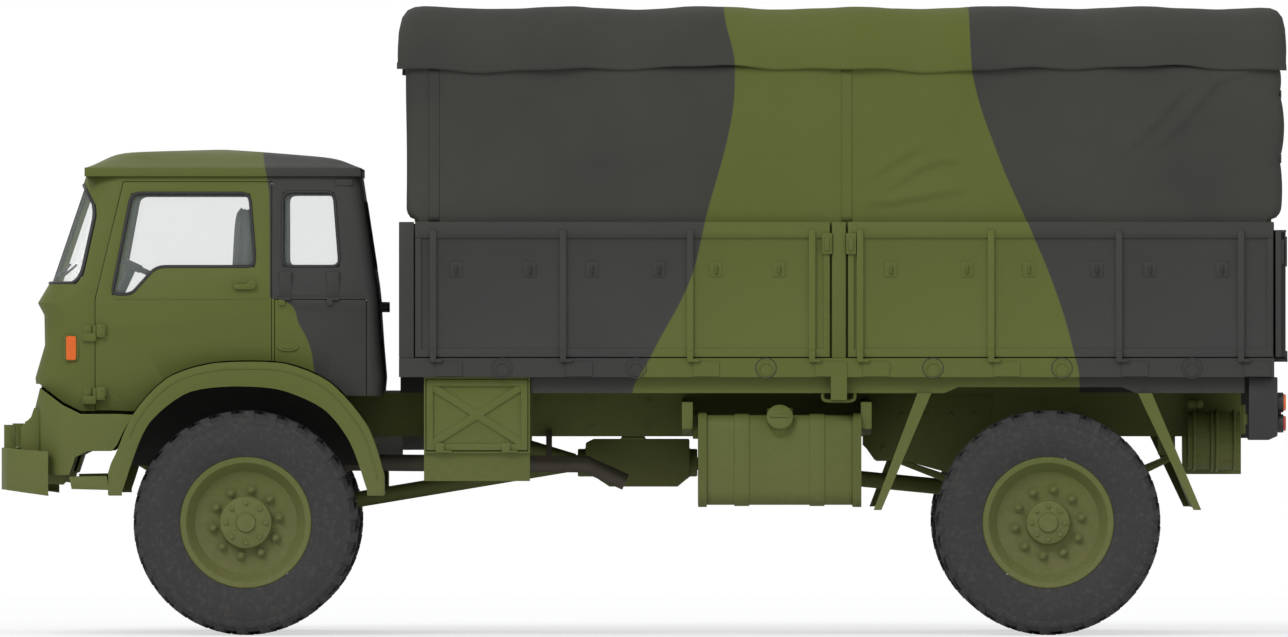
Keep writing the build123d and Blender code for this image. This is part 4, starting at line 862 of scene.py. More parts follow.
class TRUCK_OT_tilt(bpy.types.Operator):
    """Drapes the canvas roof over the bows and hangs the curtain under it"""
    bl_idname = "truck.tilt"
    bl_label = "Canvas tilt"

    def execute(self, context):
        sizes = context.scene.truck_canvas
        low, high = corners("tilt_canopy")
        self.roof(sizes, low, high)
        self.curtain(sizes, low, high)
        self.seams(high)
        self.rear_ties(high)
        return {"FINISHED"}

    def roof(self, sizes, low, high):
        """The roof sheet: dips between the bows, wrinkles and a wavy hem."""
        crown = high.z - 0.004
        arch = tilt_section(high.y - 0.004, EAVES, crown, 26)
        across = [(-p.x, p.y) for p in arch] + [(p.x, p.y) for p in reversed(arch[:-1])]
        ends = [(low.x + reach, share) for reach, share in ROOF_FRONT_END]
        ends += [(high.x - reach, share) for reach, share in reversed(ROOF_REAR_END)]
        path = refined(ends, 0.025)
        length = high.x - low.x
        pitch = length / ROOF_BAYS
        rows = []
        for x, share in path:
            near = min(x - low.x, high.x - x)
            plan = 1 - 0.035 * max(0.0, 1 - near / 0.11) ** 2
            bow = abs(((x - low.x - 0.06) / pitch + 0.5) % 1 - 0.5) * 2
            dip = sizes.sag * math.sin(bow * math.pi / 2) ** 2 * min(1.0, near / 0.3)
            row = []
            for y, z in across:
                rise = (z - EAVES) / (crown - EAVES)
                wrinkle = noise.noise(Vector((x * 2.3, y * 1.1, z * 2.0 + 4.0))) * 0.010
                wrinkle += noise.noise(Vector((x * 7.0, y * 2.0, z * 6.0))) * 0.004
                height = EAVES + (z - EAVES) * share - dip * rise * share + wrinkle * rise * share
                hem = max(0.0, 1 - rise / 0.22)
                hem *= (0.011 * math.sin(x * 2.9 + 0.6) + 0.007 * math.sin(x * 8.3 + y)
                        + 0.004 * math.sin(x * 17.0))
                out = y * plan * (1 - dip / 1.1) + (wrinkle * 0.5 if abs(y) > 1.0 else 0.0)
                out = max(-high.y + 0.001, min(high.y - 0.001, out))
                bulge = noise.noise(Vector((y * 2.0, z * 3.0, 9.0))) * 0.008 * max(0.0, 1 - near / 0.2)
                row.append((min(max(x + bulge, low.x + 0.001), high.x - 0.001), out,
                            min(height + hem, high.z - 0.001)))
            rows.append(row)
        bm = grid_sheet(rows)
        area = sum(face.calc_area() for face in bm.faces)
        piece = finish_piece("tilt_roof_sheet", bm, "chassis", "canvas", ["tilt_canopy"], 180)
        thicken(piece, sizes.thickness)

    def curtain(self, sizes, low, high):
        """One curtain round all four sides, tucked in at the foot in front and behind."""
        half = high.y - CURTAIN_INSET
        front, rear = low.x + 0.049, high.x - 0.043
        foot = corners("drop_side_front_left")[1].z + 0.002
        top = EAVES + 0.016
        plan = eased([(front, -half, 0), (rear, -half, 0), (rear, half, 0), (front, half, 0)], CURTAIN_CORNER,
                     steps=5)
        path = refined([*plan, plan[0]], 0.022)[:-1]
        centre = Vector(((front + rear) / 2, 0, 0))
        girth = sum((path[k] - path[k - 1]).length for k in range(len(path)))
        heights = refined([(0, foot - TUCKED, 0), (0, foot, 0), (0, top, 0)], 0.021)
        rows = []
        for step in heights:
            z = step.y
            row = []
            for k, point in enumerate(path):
                run = path[(k + 1) % len(path)] - path[k - 1]
                out = Vector((run.y, -run.x, 0)).normalized()
                if out.dot(point - centre) < 0:
                    out = -out
                row.append(self.hung(point, out, z, foot, top, sizes.fold, half))
            rows.append(row)
        bm = grid_sheet(rows, closed=True)
        piece = finish_piece("tilt_curtain", bm, "chassis", "canvas", (), 180)
        thicken(piece, sizes.thickness)

    def hung(self, point, out, z, foot, top, fold, half):
        """Where the curtain hangs at one place round the body and one height. The rear curtain bellies out
        between its ties, and the front and rear ones turn inwards at the foot."""
        ends = abs(out.x)
        push = noise.noise(Vector((point.x * 1.4, point.y * 1.4, z * 1.8))) * 0.006
        push += noise.noise(Vector((point.x * 5.0, point.y * 5.0, z * 2.2 + 3.0))) * 0.0035
        if abs(point.y) > half - 0.01:
            push += crease_height(point.x, z, fold * 1.5)
        else:
            push += math.sin(point.y * 21.0) * 0.003 * ends
        if out.x > 0.5:
            levels = (foot, *sorted(REAR_TIES), top)
            for place, (a, b) in enumerate(zip(levels, levels[1:])):
                if a <= z <= b:
                    share = (z - a) / (b - a)
                    push += (0.016, 0.026, 0.012)[place] * math.sin(math.pi * share) ** 0.6 * ends
        up = min(max(z - foot, 0.0) / 0.07, 1.0)
        tuck = 0.068 * (1 - math.sqrt(max(0.0, 1 - (1 - up) ** 2)))
        settled = point + out * push
        settled.x -= math.copysign(tuck * ends, out.x)
        return (settled.x, settled.y, z)

    def seams(self, high):
        """Doubled, stitched strips where the side curtains join."""
        foot = corners("drop_side_front_left")[1].z + 0.004
        half = high.y - CURTAIN_INSET
        bm = bmesh.new()
        for side in (-1, 1):
            for x in SEAMS:
                rows = []
                for step in refined([(0, foot, 0), (0, EAVES, 0)], 0.03):
                    z = step.y
                    row = []
                    for along in (-0.028, -0.024, 0.0, 0.024, 0.028):
                        hung = self.hung(Vector((x + along, side * half, 0)), Vector((0, side, 0)), z, foot,
                                         EAVES, 0.007, half)
                        lift = 0.0005 if abs(along) > 0.026 else 0.0035
                        row.append((hung[0], hung[1] + side * lift, z))
                    rows.append(row)
                part = grid_sheet(rows)
                copy_into(bm, part)
                part.free()
        piece = finish_piece("tilt_seams", bm, "chassis", "canvas", (), 30)
        thicken(piece, 0.0015)

    def rear_ties(self, high):
        """Webbing straps with buckles that hold the rear curtain in."""
        bm = bmesh.new()
        metal = bmesh.new()
        x = high.x - 0.030
        # The four bars of a buckle: lowest and highest corner, from its middle.
        bars = ((-0.03, -0.03, 0.03, -0.022), (-0.03, 0.022, 0.03, 0.03), (-0.03, -0.03, -0.022, 0.03),
                (0.022, -0.03, 0.03, 0.03))
        for z in REAR_TIES:
            box(bm, (x - 0.004, -1.13, z - 0.022), (x + 0.004, 1.13, z + 0.022))
            for y in (-0.42, 0.42):
                for left, foot, right, top in bars:
                    box(metal, (x - 0.002, y + left, z + foot), (x + 0.009, y + right, z + top))
        soften(bm, 0.0015, 1)
        finish_piece("rear_tie_straps", bm, "chassis", "webbing")
        finish_piece("rear_tie_buckles", metal, "chassis", "black_metal")


# ---- sheet metal ----
# Frame node, bevel of its edges, angle below which its faces are shaded as one.
METAL = (
    ("cab_shell", 0.003, 38), ("cab_roof", 0.014, 44), ("door_left", 0.0025, 38),
    ("door_right", 0.0025, 38), ("engine_flap_left", 0.0025, 38), ("engine_flap_right", 0.0025, 38),
    ("front_panel", 0.004, 38), ("front_bumper", 0.005, 42), ("front_mudguards", 0.0018, 34),
    ("drop_side_front_left", 0.003, 30), ("drop_side_front_right", 0.003, 30),
    ("drop_side_rear_left", 0.003, 30), ("drop_side_rear_right", 0.003, 30), ("tailboard", 0.004, 30),
    ("headboard", 0.004, 30), ("body_posts", 0.004, 30), ("lockers", 0.002, 30),
    ("locker_door_left", 0.003, 30), ("locker_door_right", 0.003, 30), ("fuel_tank", 0.004, 42),
    ("rear_lamp_boxes", 0.006, 30), ("tank_arms", 0.004, 30), ("towing_hook", 0.006, 30),
    ("leaf_springs", 0.004, 30), ("transfer_box", 0.010, 34), ("engine_and_gearbox", 0.012, 34),
    ("dashboard", 0.010, 30), ("seat_bases", 0.004, 30), ("air_reservoirs", 0.006, 50),
    ("exhaust", 0.0, 60), ("propshafts", 0.0, 60), ("track_rod", 0.0, 60), ("steering_column", 0.0, 60),
)
ARCH_STEP = 4  # degrees between two cuts across a wheel arch
ARCH_FROM, ARCH_TO = 16, 164  # the arch's ends, in degrees round the axle
ARCH_SPREAD = 14  # degrees past its ends where the arch is measured, and over which it is made smooth
ARCH_LIP = 0.006  # from the mudguards' face to the line along which the arch is measured
# Nodes that the wheel arch cuts through.
ARCHED = ("front_mudguards", "cab_shell", "door_left", "door_right", "engine_flap_left",
          "engine_flap_right", "front_panel")


def spoke(degree):
    """Direction of one degree round an axle, seen from the side."""
    return Vector((math.cos(math.radians(degree)), 0, math.sin(math.radians(degree))))


class Arch:
    """The front wheel arch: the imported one's flats, and the same curve made smooth."""

    def __init__(self):
        low, high = corners("tyre_front_left")
        self.axle = (low + high) / 2
        self.face = -corners("front_mudguards")[0].y
        bm = bmesh.new()
        bm.from_mesh(frame["nodes"]["front_mudguards"].data)
        tree = BVHTree.FromBMesh(bm)
        bm.free()
        self.outer, self.inner = [], []
        middle = Vector((self.axle.x, ARCH_LIP - self.face, self.axle.z))
        for degree in range(ARCH_FROM - ARCH_SPREAD, ARCH_TO + ARCH_SPREAD + 1):
            out = spoke(degree)
            for flats, reach, way in ((self.outer, 1.1, -out), (self.inner, 0.4, out)):
                place = tree.ray_cast(middle + out * reach, way)[0]
                flats.append((place - middle).length if place else None)

    def radius(self, degree, flats):
        """How far from the axle some flats are at a degree."""
        place = degree - (ARCH_FROM - ARCH_SPREAD)
        k = min(max(int(place), 0), len(flats) - 2)
        a, b = flats[k], flats[k + 1]
        return None if a is None or b is None else a + (b - a) * (place - k)

    def lift(self, degree, flats):
        """How far the smooth curve stands outside the flats."""
        here = self.radius(degree, flats)
        if here is None:
            return 0.0
        total, weight = 0.0, 0.0
        for shift in range(-ARCH_SPREAD, ARCH_SPREAD + 1):
            near = self.radius(degree + shift, flats)
            if near is not None:
                share = math.exp(-(shift / 8.0) ** 2)
                total += near * share
                weight += share
        fade = min(1.0, max(0.0, (degree - ARCH_FROM) / 12), max(0.0, (ARCH_TO - degree) / 12))
        return (total / weight - here) * max(0.0, fade)

    def bend(self, bm):
        """Cuts a mesh into short stretches round the arch and moves its arch edges onto the smooth curve."""
        def polar(vert):
            """Distance from the axle and degree round it."""
            run = vert.co - self.axle
            return math.hypot(run.x, run.z), math.degrees(math.atan2(run.z, run.x))

        def close(vert):
            """True near the arch's edge."""
            reach, degree = polar(vert)
            edge = self.radius(degree, self.outer) if ARCH_FROM < degree < ARCH_TO else None
            return edge is not None and edge - 0.20 < reach < edge + 0.028 and abs(vert.co.y) > 0.8
        for degree in range(ARCH_FROM + ARCH_STEP, ARCH_TO, ARCH_STEP):
            across = spoke(degree + 90)
            faces = [face for face in bm.faces if any(close(vert) for vert in face.verts)]
            edges = dict.fromkeys(edge for face in faces for edge in face.edges)
            verts = dict.fromkeys(vert for face in faces for vert in face.verts)
            bmesh.ops.bisect_plane(bm, geom=[*verts, *edges, *faces], dist=1e-5, plane_co=self.axle,
                                   plane_no=across)
        for vert in bm.verts:
            if close(vert):
                reach, degree = polar(vert)
                inner = self.radius(degree, self.inner)
                outer = self.radius(degree, self.outer)
                flats = self.inner if inner and reach < (inner + outer) / 2 else self.outer
                out = (vert.co - self.axle) * Vector((1, 0, 1)) / reach
                vert.co += out * self.lift(degree, flats)

    def bead(self, bm, y, inset, radius, start=ARCH_FROM + 2, end=ARCH_TO - 18):
        """A round bead that follows both arches inside (or, below zero, outside) their outer curve."""
        for side in (-1, 1):
            points = []
            for degree in range(start, end, 3):
                reach = self.radius(degree, self.outer) + self.lift(degree, self.outer) - inset
                place = self.axle + spoke(degree) * reach
                points.append((place.x, side * y, place.z))
            tube(bm, points, radius, 8)


def body_of_node(name):
    """The body that a frame node rides on."""
    return frame["nodes"][name]["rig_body"]


def merged_copy(name):
    """A frame node as one joined mesh with its flat faces whole again."""
    bm = bmesh.new()
    bm.from_mesh(frame["nodes"][name].data)
    bmesh.ops.remove_doubles(bm, verts=bm.verts, dist=2e-5)
    bmesh.ops.dissolve_degenerate(bm, edges=bm.edges, dist=2e-5)
    bmesh.ops.dissolve_limit(bm, angle_limit=0.004, verts=bm.verts, edges=bm.edges)
    outwards(bm)
    return bm


class TRUCK_OT_metal(bpy.types.Operator):
    """Softens the edges of the pressed and welded sheet metal"""
    bl_idname = "truck.metal"
    bl_label = "Sheet metal"

    def execute(self, context):
        arch = Arch()
        for name, width, angle in METAL:
            bm = merged_copy(name)
            if name in ARCHED:
                arch.bend(bm)
            if name == "cab_shell":
                round_across(bm, 0.03, 0.25, 1.1, lambda place: place.x < -2.95 and place.z < 1.72)
            if name == "cab_roof":
                self.crown(bm)
            if width:
                soften(bm, width, 2, 0.75)
            piece = finish_piece(f"{name}_skin", bm, body_of_node(name),
                                 node_finish(name), [name], angle)
            if name == "front_mudguards":
                self.darken_well(piece)
        bm = bmesh.new()
        arch.bead(bm, arch.face, 0.035, 0.0035)
        finish_piece("arch_beads", bm, "chassis", "frame_paint", (), 60)
        self.gap_shade_strips(arch)
        return {"FINISHED"}

    def gap_shade_strips(self, arch):
        """Near-black strips behind the gaps over the mudguards, under the cab's nose and under the body's
        boards: painted shade in the gaps.
        """
        bm = bmesh.new()
        arch.bead(bm, 1.012, -0.006, 0.009, 55, 140)
        outwards(bm)
        outline_plate(bm, [(-3.024, 1.276), (-2.98, 1.244), (-2.98, 1.204), (-3.024, 1.236)], 1, -0.85, 0.85)
        for sign in (-1, 1):
            box(bm, (-1.145, sign * 1.166, 1.380), (3.143, sign * 1.176, 1.403))
        box(bm, (3.134, -1.166, 1.380), (3.143, 1.166, 1.403))
        finish_piece("gap_shade_strips", bm, "chassis", "seal", (), 50)

    def crown(self, bm):
        """Turns the roof panel's flats into one pressed curve above its gutter."""
        low, high = corners("cab_roof")
        for axis, start, end, steps in (((1, 0, 0), low.x, high.x, 30), ((0, 1, 0), low.y, high.y, 42)):
            for step in range(1, steps):
                spot = start + (end - start) * step / steps
                bmesh.ops.bisect_plane(bm, geom=[*bm.verts, *bm.edges, *bm.faces], dist=1e-5,
                                       plane_co=Vector(axis) * spot, plane_no=axis)
        rim = low.z + 0.047
        soft = [vert for vert in bm.verts if vert.co.z > rim]
        for _ in range(14):
            bmesh.ops.smooth_vert(bm, verts=soft, factor=0.5, use_axis_x=True, use_axis_y=True,
                                  use_axis_z=True)

    def darken_well(self, piece):
        """Paints the underside of the arches and the wells' inner walls near black: painted shade, for faces
        that lie in the wheels' shadow.
        """
        low, high = corners("tyre_front_left")
        axle = (low + high) / 2
        piece.data.materials.append(FINISHES["well"])
        for polygon in piece.data.polygons:
            to_axle = Vector((axle.x - polygon.center.x, 0, axle.z - polygon.center.z))
            out = Vector((0, math.copysign(1, polygon.center.y), 0))
            under = polygon.normal.dot(to_axle.normalized()) > 0.2 and abs(polygon.center.y) < 1.2085
            wall = polygon.normal.dot(out) > 0.9 and abs(polygon.center.y) < 0.6
            if under or wall:
                polygon.material_index = 1


# ---- windows ----
CAB_MIDDLE = -2.15  # place along the truck that every pane faces away from
CORNER = 0.045  # how far from a corner the seal round a pane starts to turn


def pane_rims(name, bend=0.9):
    """The outer rim of each glass pane of a node, as closed lines of points, and the pane's direction. A
    pane is faces that meet at less than the bend, in radians."""
    bm = merged_copy(name)
    groups = []
    left = dict.fromkeys(bm.faces)
    while left:
        seed = max(left, key=lambda face: face.calc_area())
        if seed.calc_area() < 0.004:
            break
        group = {seed: None}
        edge_of = [seed]
        while edge_of:
            face = edge_of.pop()
            for edge in face.edges:
                for other in edge.link_faces:
                    if other in left and other not in group and other.normal.angle(face.normal) < bend:
                        group[other] = None
                        edge_of.append(other)
        left = {face: None for face in left if face not in group}
        weight = sum(face.calc_area() for face in group)
        point = sum((face.calc_center_median() * face.calc_area() for face in group), Vector()) / weight
        normal = sum((face.normal * face.calc_area() for face in group), Vector()).normalized()
        outward = Vector((point.x - CAB_MIDDLE, point.y, 0))
        if weight > 0.03 and normal.dot(outward) > 0:
            groups.append((group, normal))
    rims = []
    for group, normal in groups:
        after = {}
        for face in group:
            for loop in face.loops:
                others = [other for other in loop.edge.link_faces if other != face]
                if not others or others[0] not in group:
                    after[loop.vert] = loop.link_loop_next.vert
        start = min(after, key=lambda vert: tuple(vert.co))
        line = [start.co.copy()]
        here = after.pop(start)
        while here != start and here in after:
            line.append(here.co.copy())
            here = after.pop(here)
        if len(line) > 3:
            rims.append((line, normal))
    bm.free()
    return rims


class TRUCK_OT_windows(bpy.types.Operator):
    """Fits rubber seals round the glass"""
    bl_idname = "truck.windows"
    bl_label = "Window seals"

    def execute(self, context):
        for name in ("cab_glass", "door_glass_left", "door_glass_right"):
            bm = bmesh.new()
            for line, normal in pane_rims(name):
                middle = sum(line, Vector()) / len(line)
                self.webs(bm, line, middle, normal)
                line = eased([point.lerp(middle, 0.004) for point in line], CORNER)
                for reach, radius in ((0.010, 0.010), (0.015, 0.0065)):
                    tube(bm, [point + normal * reach for point in line], radius, 8, closed=True)
            outwards(bm)
            finish_piece(f"{name}_seals", bm, body_of_node(name), "seal", (), 60)
        return {"FINISHED"}

    def webs(self, bm, line, middle, normal):
        """Rubber between the opening's sharp corners and the rounded seal."""
        for place, point in enumerate(line):
            ahead = line[(place + 1) % len(line)]
            ends = [point.lerp(line[place - 1], 0.46), point, point.lerp(ahead, 0.46)]
            curve = eased(ends, CORNER, closed=False)[1:-1]
            if len(curve) < 3:
                continue
            out = point + (point - middle).normalized() * 0.008
            ring = [out, *curve]
            near = [bm.verts.new(vert + normal * 0.001) for vert in ring]
            far = [bm.verts.new(vert + normal * 0.009) for vert in ring]
            bm.faces.new(near)
            bm.faces.new(far[::-1])
            for k in range(len(ring)):
                after = (k + 1) % len(ring)
                bm.faces.new((near[k], far[k], far[after], near[after]))


# ---- cab fittings ----
HINGES = (1.177, 1.492)  # heights of the door hinges' feet
HANDLE_X, HANDLE_Z = -2.0, 1.757  # the door handle's place
LATCH_X, LATCH_Z = -1.785, 1.4425  # the middle of the engine flap's latch
INDICATOR_X, INDICATOR_Z = -2.870, 1.437  # the middle of the side repeater


class TRUCK_OT_cab_fittings(bpy.types.Operator):
    """Adds handles, hinges, straps, vents, indicators, wipers and the rear buffers to the cab"""
    bl_idname = "truck.cab_fittings"
    bl_label = "Cab fittings"

    def execute(self, context):
        for name, sign in sides():
            self.door(name, sign)
            self.flap(name, sign)
            self.shell(name, sign)
        self.indicators()
        self.wipers()
        self.front()
        return {"FINISHED"}

    def door(self, name, sign):
        """Door handle, lock, the door's own hinge leaves and the pressed belt line."""
        bm = bmesh.new()
        node = f"door_{name}"
        y = surface([node], HANDLE_X, HANDLE_Z, sign)
        grip = [(-2.055, 1.757), (-1.995, 1.757), (-1.975, 1.776), (-1.957, 1.779), (-1.945, 1.767),
                (-1.945, 1.745), (-1.957, 1.733), (-1.975, 1.731), (-2.045, 1.731), (-2.057, 1.741)]
        outline_plate(bm, grip, sign, y + 0.012, y + 0.024)
        for low, high in ((-1.983, -1.954), (-2.052, -2.036)):
            foot = [(low, 1.767), (high, 1.767), (high, 1.739), (low, 1.739)]
            outline_plate(bm, foot, sign, y - 0.010, y + 0.014)
        rod(bm, (-1.930, sign * (y - 0.01), 1.700), (-1.930, sign * (y + 0.006), 1.700), 0.011, 20)
        for z in HINGES:
            out = surface([node], -2.725, z + 0.03, sign)
            box(bm, (-2.742, sign * (out - 0.01), z), (-2.700, sign * (out + 0.006), z + 0.064))
            for reach in (0.014, 0.050):
                rod(bm, (-2.714, sign * out, z + reach), (-2.714, sign * (out + 0.009), z + reach), 0.006, 12)
        soften(bm, 0.0022, 2)
        self.swage(bm, [node], -2.655, -1.885, 1.682, sign)
        finish_piece(f"door_fittings_{name}", bm, node, "cab_paint")

    def swage(self, bm, names, start, end, z, sign):
        """A pressed line along the skin."""
        points = []
        for step in range(13):
            x = start + (end - start) * step / 12
            points.append((x, sign * (surface(names, x, z, sign) - 0.0015), z))
        tube(bm, points, 0.0042, 8)
        outwards(bm)

    def flap(self, name, sign):
        """Latch of the engine flap."""
        bm = bmesh.new()
        node = f"engine_flap_{name}"
        y = surface([node], LATCH_X, LATCH_Z, sign)
        for wide, tall, low, high in ((0.054, 0.023, -0.006, 0.006), (0.030, 0.011, 0.004, 0.009)):
            ring = [(LATCH_X + wide * cosine, LATCH_Z + tall * sine) for cosine, sine in circle(28)]
            outline_plate(bm, ring, sign, y + low, y + high)
        soften(bm, 0.002, 1)
        finish_piece(f"flap_latch_{name}", bm, node, "cab_paint")

    def shell(self, name, sign):
        """Hinge leaves, flap straps, the vent, the rear buffer and a pressed line on the cab shell."""
        bm = bmesh.new()
        shell = ["cab_shell", f"door_{name}", f"engine_flap_{name}"]
        for z in HINGES:
            out = surface(["cab_shell"], -2.79, z + 0.03, sign)
            box(bm, (-2.808, sign * (out - 0.012), z - 0.008), (-2.768, sign * (out + 0.006), z + 0.062))
        for x in (-1.797, -1.559):
            out = surface(shell, x, 1.78, sign)
            strap = [(x - 0.030, 1.818), (x + 0.030, 1.818), (x + 0.032, 1.692), (x - 0.032, 1.692)]
            outline_plate(bm, strap, sign, out - 0.03, out + 0.011)
        out = surface(["cab_shell"], -1.505, 2.268, sign)
        vent = [(-1.547, 2.281), (-1.463, 2.281), (-1.463, 2.250), (-1.547, 2.250)]
        outline_plate(bm, vent, sign, out - 0.02, out + 0.008)
        soften(bm, 0.002, 2)
        box(bm, (-1.330, sign * 0.60, 1.617), (-1.318, sign * 0.66, 1.668))
        rod(bm, (-1.326, sign * 0.63, 1.6425), (-1.292, sign * 0.63, 1.6425), 0.026, 24)
        self.swage(bm, ["cab_shell"], -1.845, -1.375, 1.700, sign)
        finish_piece(f"cab_fittings_{name}", bm, "chassis", "cab_paint")

    def indicators(self):
        """Amber side repeaters in dark housings."""
        lens = bmesh.new()
        housing = bmesh.new()
        x, z = INDICATOR_X, INDICATOR_Z
        shape = [(x - 0.036, z - 0.045), (x - 0.028, z - 0.066), (x + 0.028, z - 0.066),
                 (x + 0.036, z - 0.045), (x + 0.040, z), (x + 0.036, z + 0.045), (x + 0.028, z + 0.066),
                 (x - 0.028, z + 0.066), (x - 0.036, z + 0.045), (x - 0.040, z)]
        inner = [(x - 0.025, 0, z - 0.060), (x + 0.025, 0, z - 0.060), (x + 0.025, 0, z + 0.060),
                 (x - 0.025, 0, z + 0.060)]
        for sign in (-1, 1):
            outline_plate(housing, shape, sign, 1.060, 1.094)
            outline_plate(lens, [(p.x, p.z) for p in eased(inner, 0.012)], sign, 1.085, 1.1015)
        soften(housing, 0.002, 1)
        soften(lens, 0.002, 1)
        finish_piece("indicator_housings", housing, "chassis", "cab_paint")
        finish_piece("indicator_lenses", lens, "chassis", "amber")

    def wipers(self):
        """A short wiper on each windscreen pane, resting along its lower edge."""
        bm = bmesh.new()
        for line, normal in pane_rims("cab_glass"):
            if normal.x > -0.6:
                continue
            sign = math.copysign(1, sum(point.y for point in line))
            origin = min(line, key=lambda point: point.z + abs(point.y) * 0.2)

            def on_glass(y, z, out):
                """A point in front of the pane, y from the middle of the truck."""
                x = origin.x - (normal.y * (sign * y - origin.y) + normal.z * (z - origin.z)) / normal.x
                return Vector((x, sign * y, z)) + normal * out
            foot = origin.z
            pivot = on_glass(0.20, foot - 0.018, 0.034)
            rod(bm, on_glass(0.20, foot - 0.018, -0.01), pivot, 0.011, 16)
            tube(bm, [pivot, on_glass(0.34, foot + 0.028, 0.036), on_glass(0.50, foot + 0.062, 0.026)],
                 0.0042, 8)
            tube(bm, [on_glass(0.30, foot + 0.030, 0.020), on_glass(0.50, foot + 0.062, 0.021),
                      on_glass(0.66, foot + 0.092, 0.020)], 0.0056, 8)
        outwards(bm)
        finish_piece("wipers", bm, "chassis", "black_metal", (), 40)

    def front(self):
        """Radiator core behind the grille."""
        bm = bmesh.new()
        low, high = corners("grille")
        back = high.x + 0.045
        box(bm, (back, low.y - 0.02, low.z - 0.02), (back + 0.05, high.y + 0.02, high.z + 0.02))
        count = 40
        for k in range(count):
            y = low.y + (high.y - low.y) * (k + 0.5) / count
            box(bm, (back - 0.006, y - 0.003, low.z), (back + 0.001, y + 0.003, high.z))
        finish_piece("radiator_core", bm, "chassis", "black_metal", (), 30)


# ---- lamps ----
# Tail lamps: the round reflector's height, and the heights and radii of the indicator and the red lamp.
REFLECTOR_Z = 1.120
REAR_INDICATOR, TAIL_LAMP = (1.165, 0.044), (1.060, 0.040)


class TRUCK_OT_lamps(bpy.types.Operator):
    """Builds the headlamps and the tail lamps"""
    bl_idname = "truck.lamps"
    bl_label = "Lamps"

    def execute(self, context):
        glass_bm, rim, bowl = bmesh.new(), bmesh.new(), bmesh.new()
        low, high = corners("headlamps")
        for sign in (-1, 1):
            y = sign * (high.y - (high.z - low.z) / 2)
            z = (low.z + high.z) / 2
            face = low.x
            sphere(glass_bm, (face + 0.018, y, z), 0.088, (0.26, 1, 1), 32)
            points = [(face + 0.012, y + 0.091 * cosine, z + 0.091 * sine) for cosine, sine in circle(40)]
            tube(rim, points, 0.009, 10, closed=True)
            rod(bowl, (face + 0.050, y, z), (face + 0.020, y, z), 0.030, 32, 0.086)
        outwards(rim)
        finish_piece("headlamp_lenses", glass_bm, "chassis", "lens", ["headlamps"], 60)
        finish_piece("headlamp_rims", rim, "chassis", "frame_paint", (), 60)
        finish_piece("headlamp_bowls", bowl, "chassis", "mirror", (), 60)
        self.tail()
        return {"FINISHED"}

    def tail(self):
        """Indicator, red lamp, reflector and screws on each rear lamp box."""
        red, amber, body = bmesh.new(), bmesh.new(), bmesh.new()
        high = corners("rear_lamp_boxes")[1]
        rear = high.x
        for sign in (-1, 1):
            y = sign * (high.y - 0.075)
            for (z, radius), target in ((REAR_INDICATOR, amber), (TAIL_LAMP, red)):
                rod(target, (rear - 0.002, y, z), (rear + 0.012, y, z), radius, 32, radius * 0.9)
                rod(body, (rear - 0.036, y, z), (rear - 0.001, y, z), radius + 0.006, 32)
            y = sign * (high.y - 0.215)
            rod(body, (rear - 0.034, y, REFLECTOR_Z), (rear - 0.012, y, REFLECTOR_Z), 0.050, 32)
            rod(red, (rear - 0.013, y, REFLECTOR_Z), (rear - 0.008, y, REFLECTOR_Z), 0.043, 32)
            for k in range(4):
                y = sign * (high.y - 0.03 - k * 0.07)
                rod(body, (rear - 0.034, y, 1.20), (rear - 0.026, y, 1.20), 0.007, 6)
        finish_piece("tail_lamp_bodies", body, "chassis", "black_metal", (), 40)
        finish_piece("tail_lamp_lenses", red, "chassis", "red", (), 40)
        finish_piece("rear_indicator_lenses", amber, "chassis", "amber", (), 40)


# ---- load body fittings ----
SILL_HALF = 1.225  # how far the sill's face stands from the middle of the truck
BOARD_HALF = 1.217  # the same for the boards' pressed panels
# Places along the truck of the rope cleats on each drop side, its latch, and the lashing rings on the sill.
CLEATS = {"front": (-0.9425, -0.5725, -0.2625, 0.0725, 0.3575, 0.6725),
          "rear": (1.2325, 1.6125, 1.9225, 2.2625, 2.5275, 2.8875)}
LATCHES = {"front": 0.9125, "rear": 1.0325}
RINGS = (-0.7125, -0.0425, 0.6075, 1.4425, 2.0875, 2.7375)
RING_Z = 1.337
# Hinge plates on the sill: front end, length. A bolt is at either end of each.
HINGE_PLATES = ((-1.0425, 0.130), (-0.4125, 0.126), (0.2275, 0.121), (1.1225, 0.121), (1.7625, 0.125),
                (2.4025, 0.125), (3.0475, 0.060))
BOLT_Z = 1.339
# Deck boards: their ends, half the deck's width, their number and the bearers below them.
DECK_FRONT, DECK_REAR, DECK_HALF, DECK_BOARDS = -1.185, 3.140, 1.170, 13
BEARERS = (-0.95, -0.26, 0.43, 1.12, 1.81, 2.50)


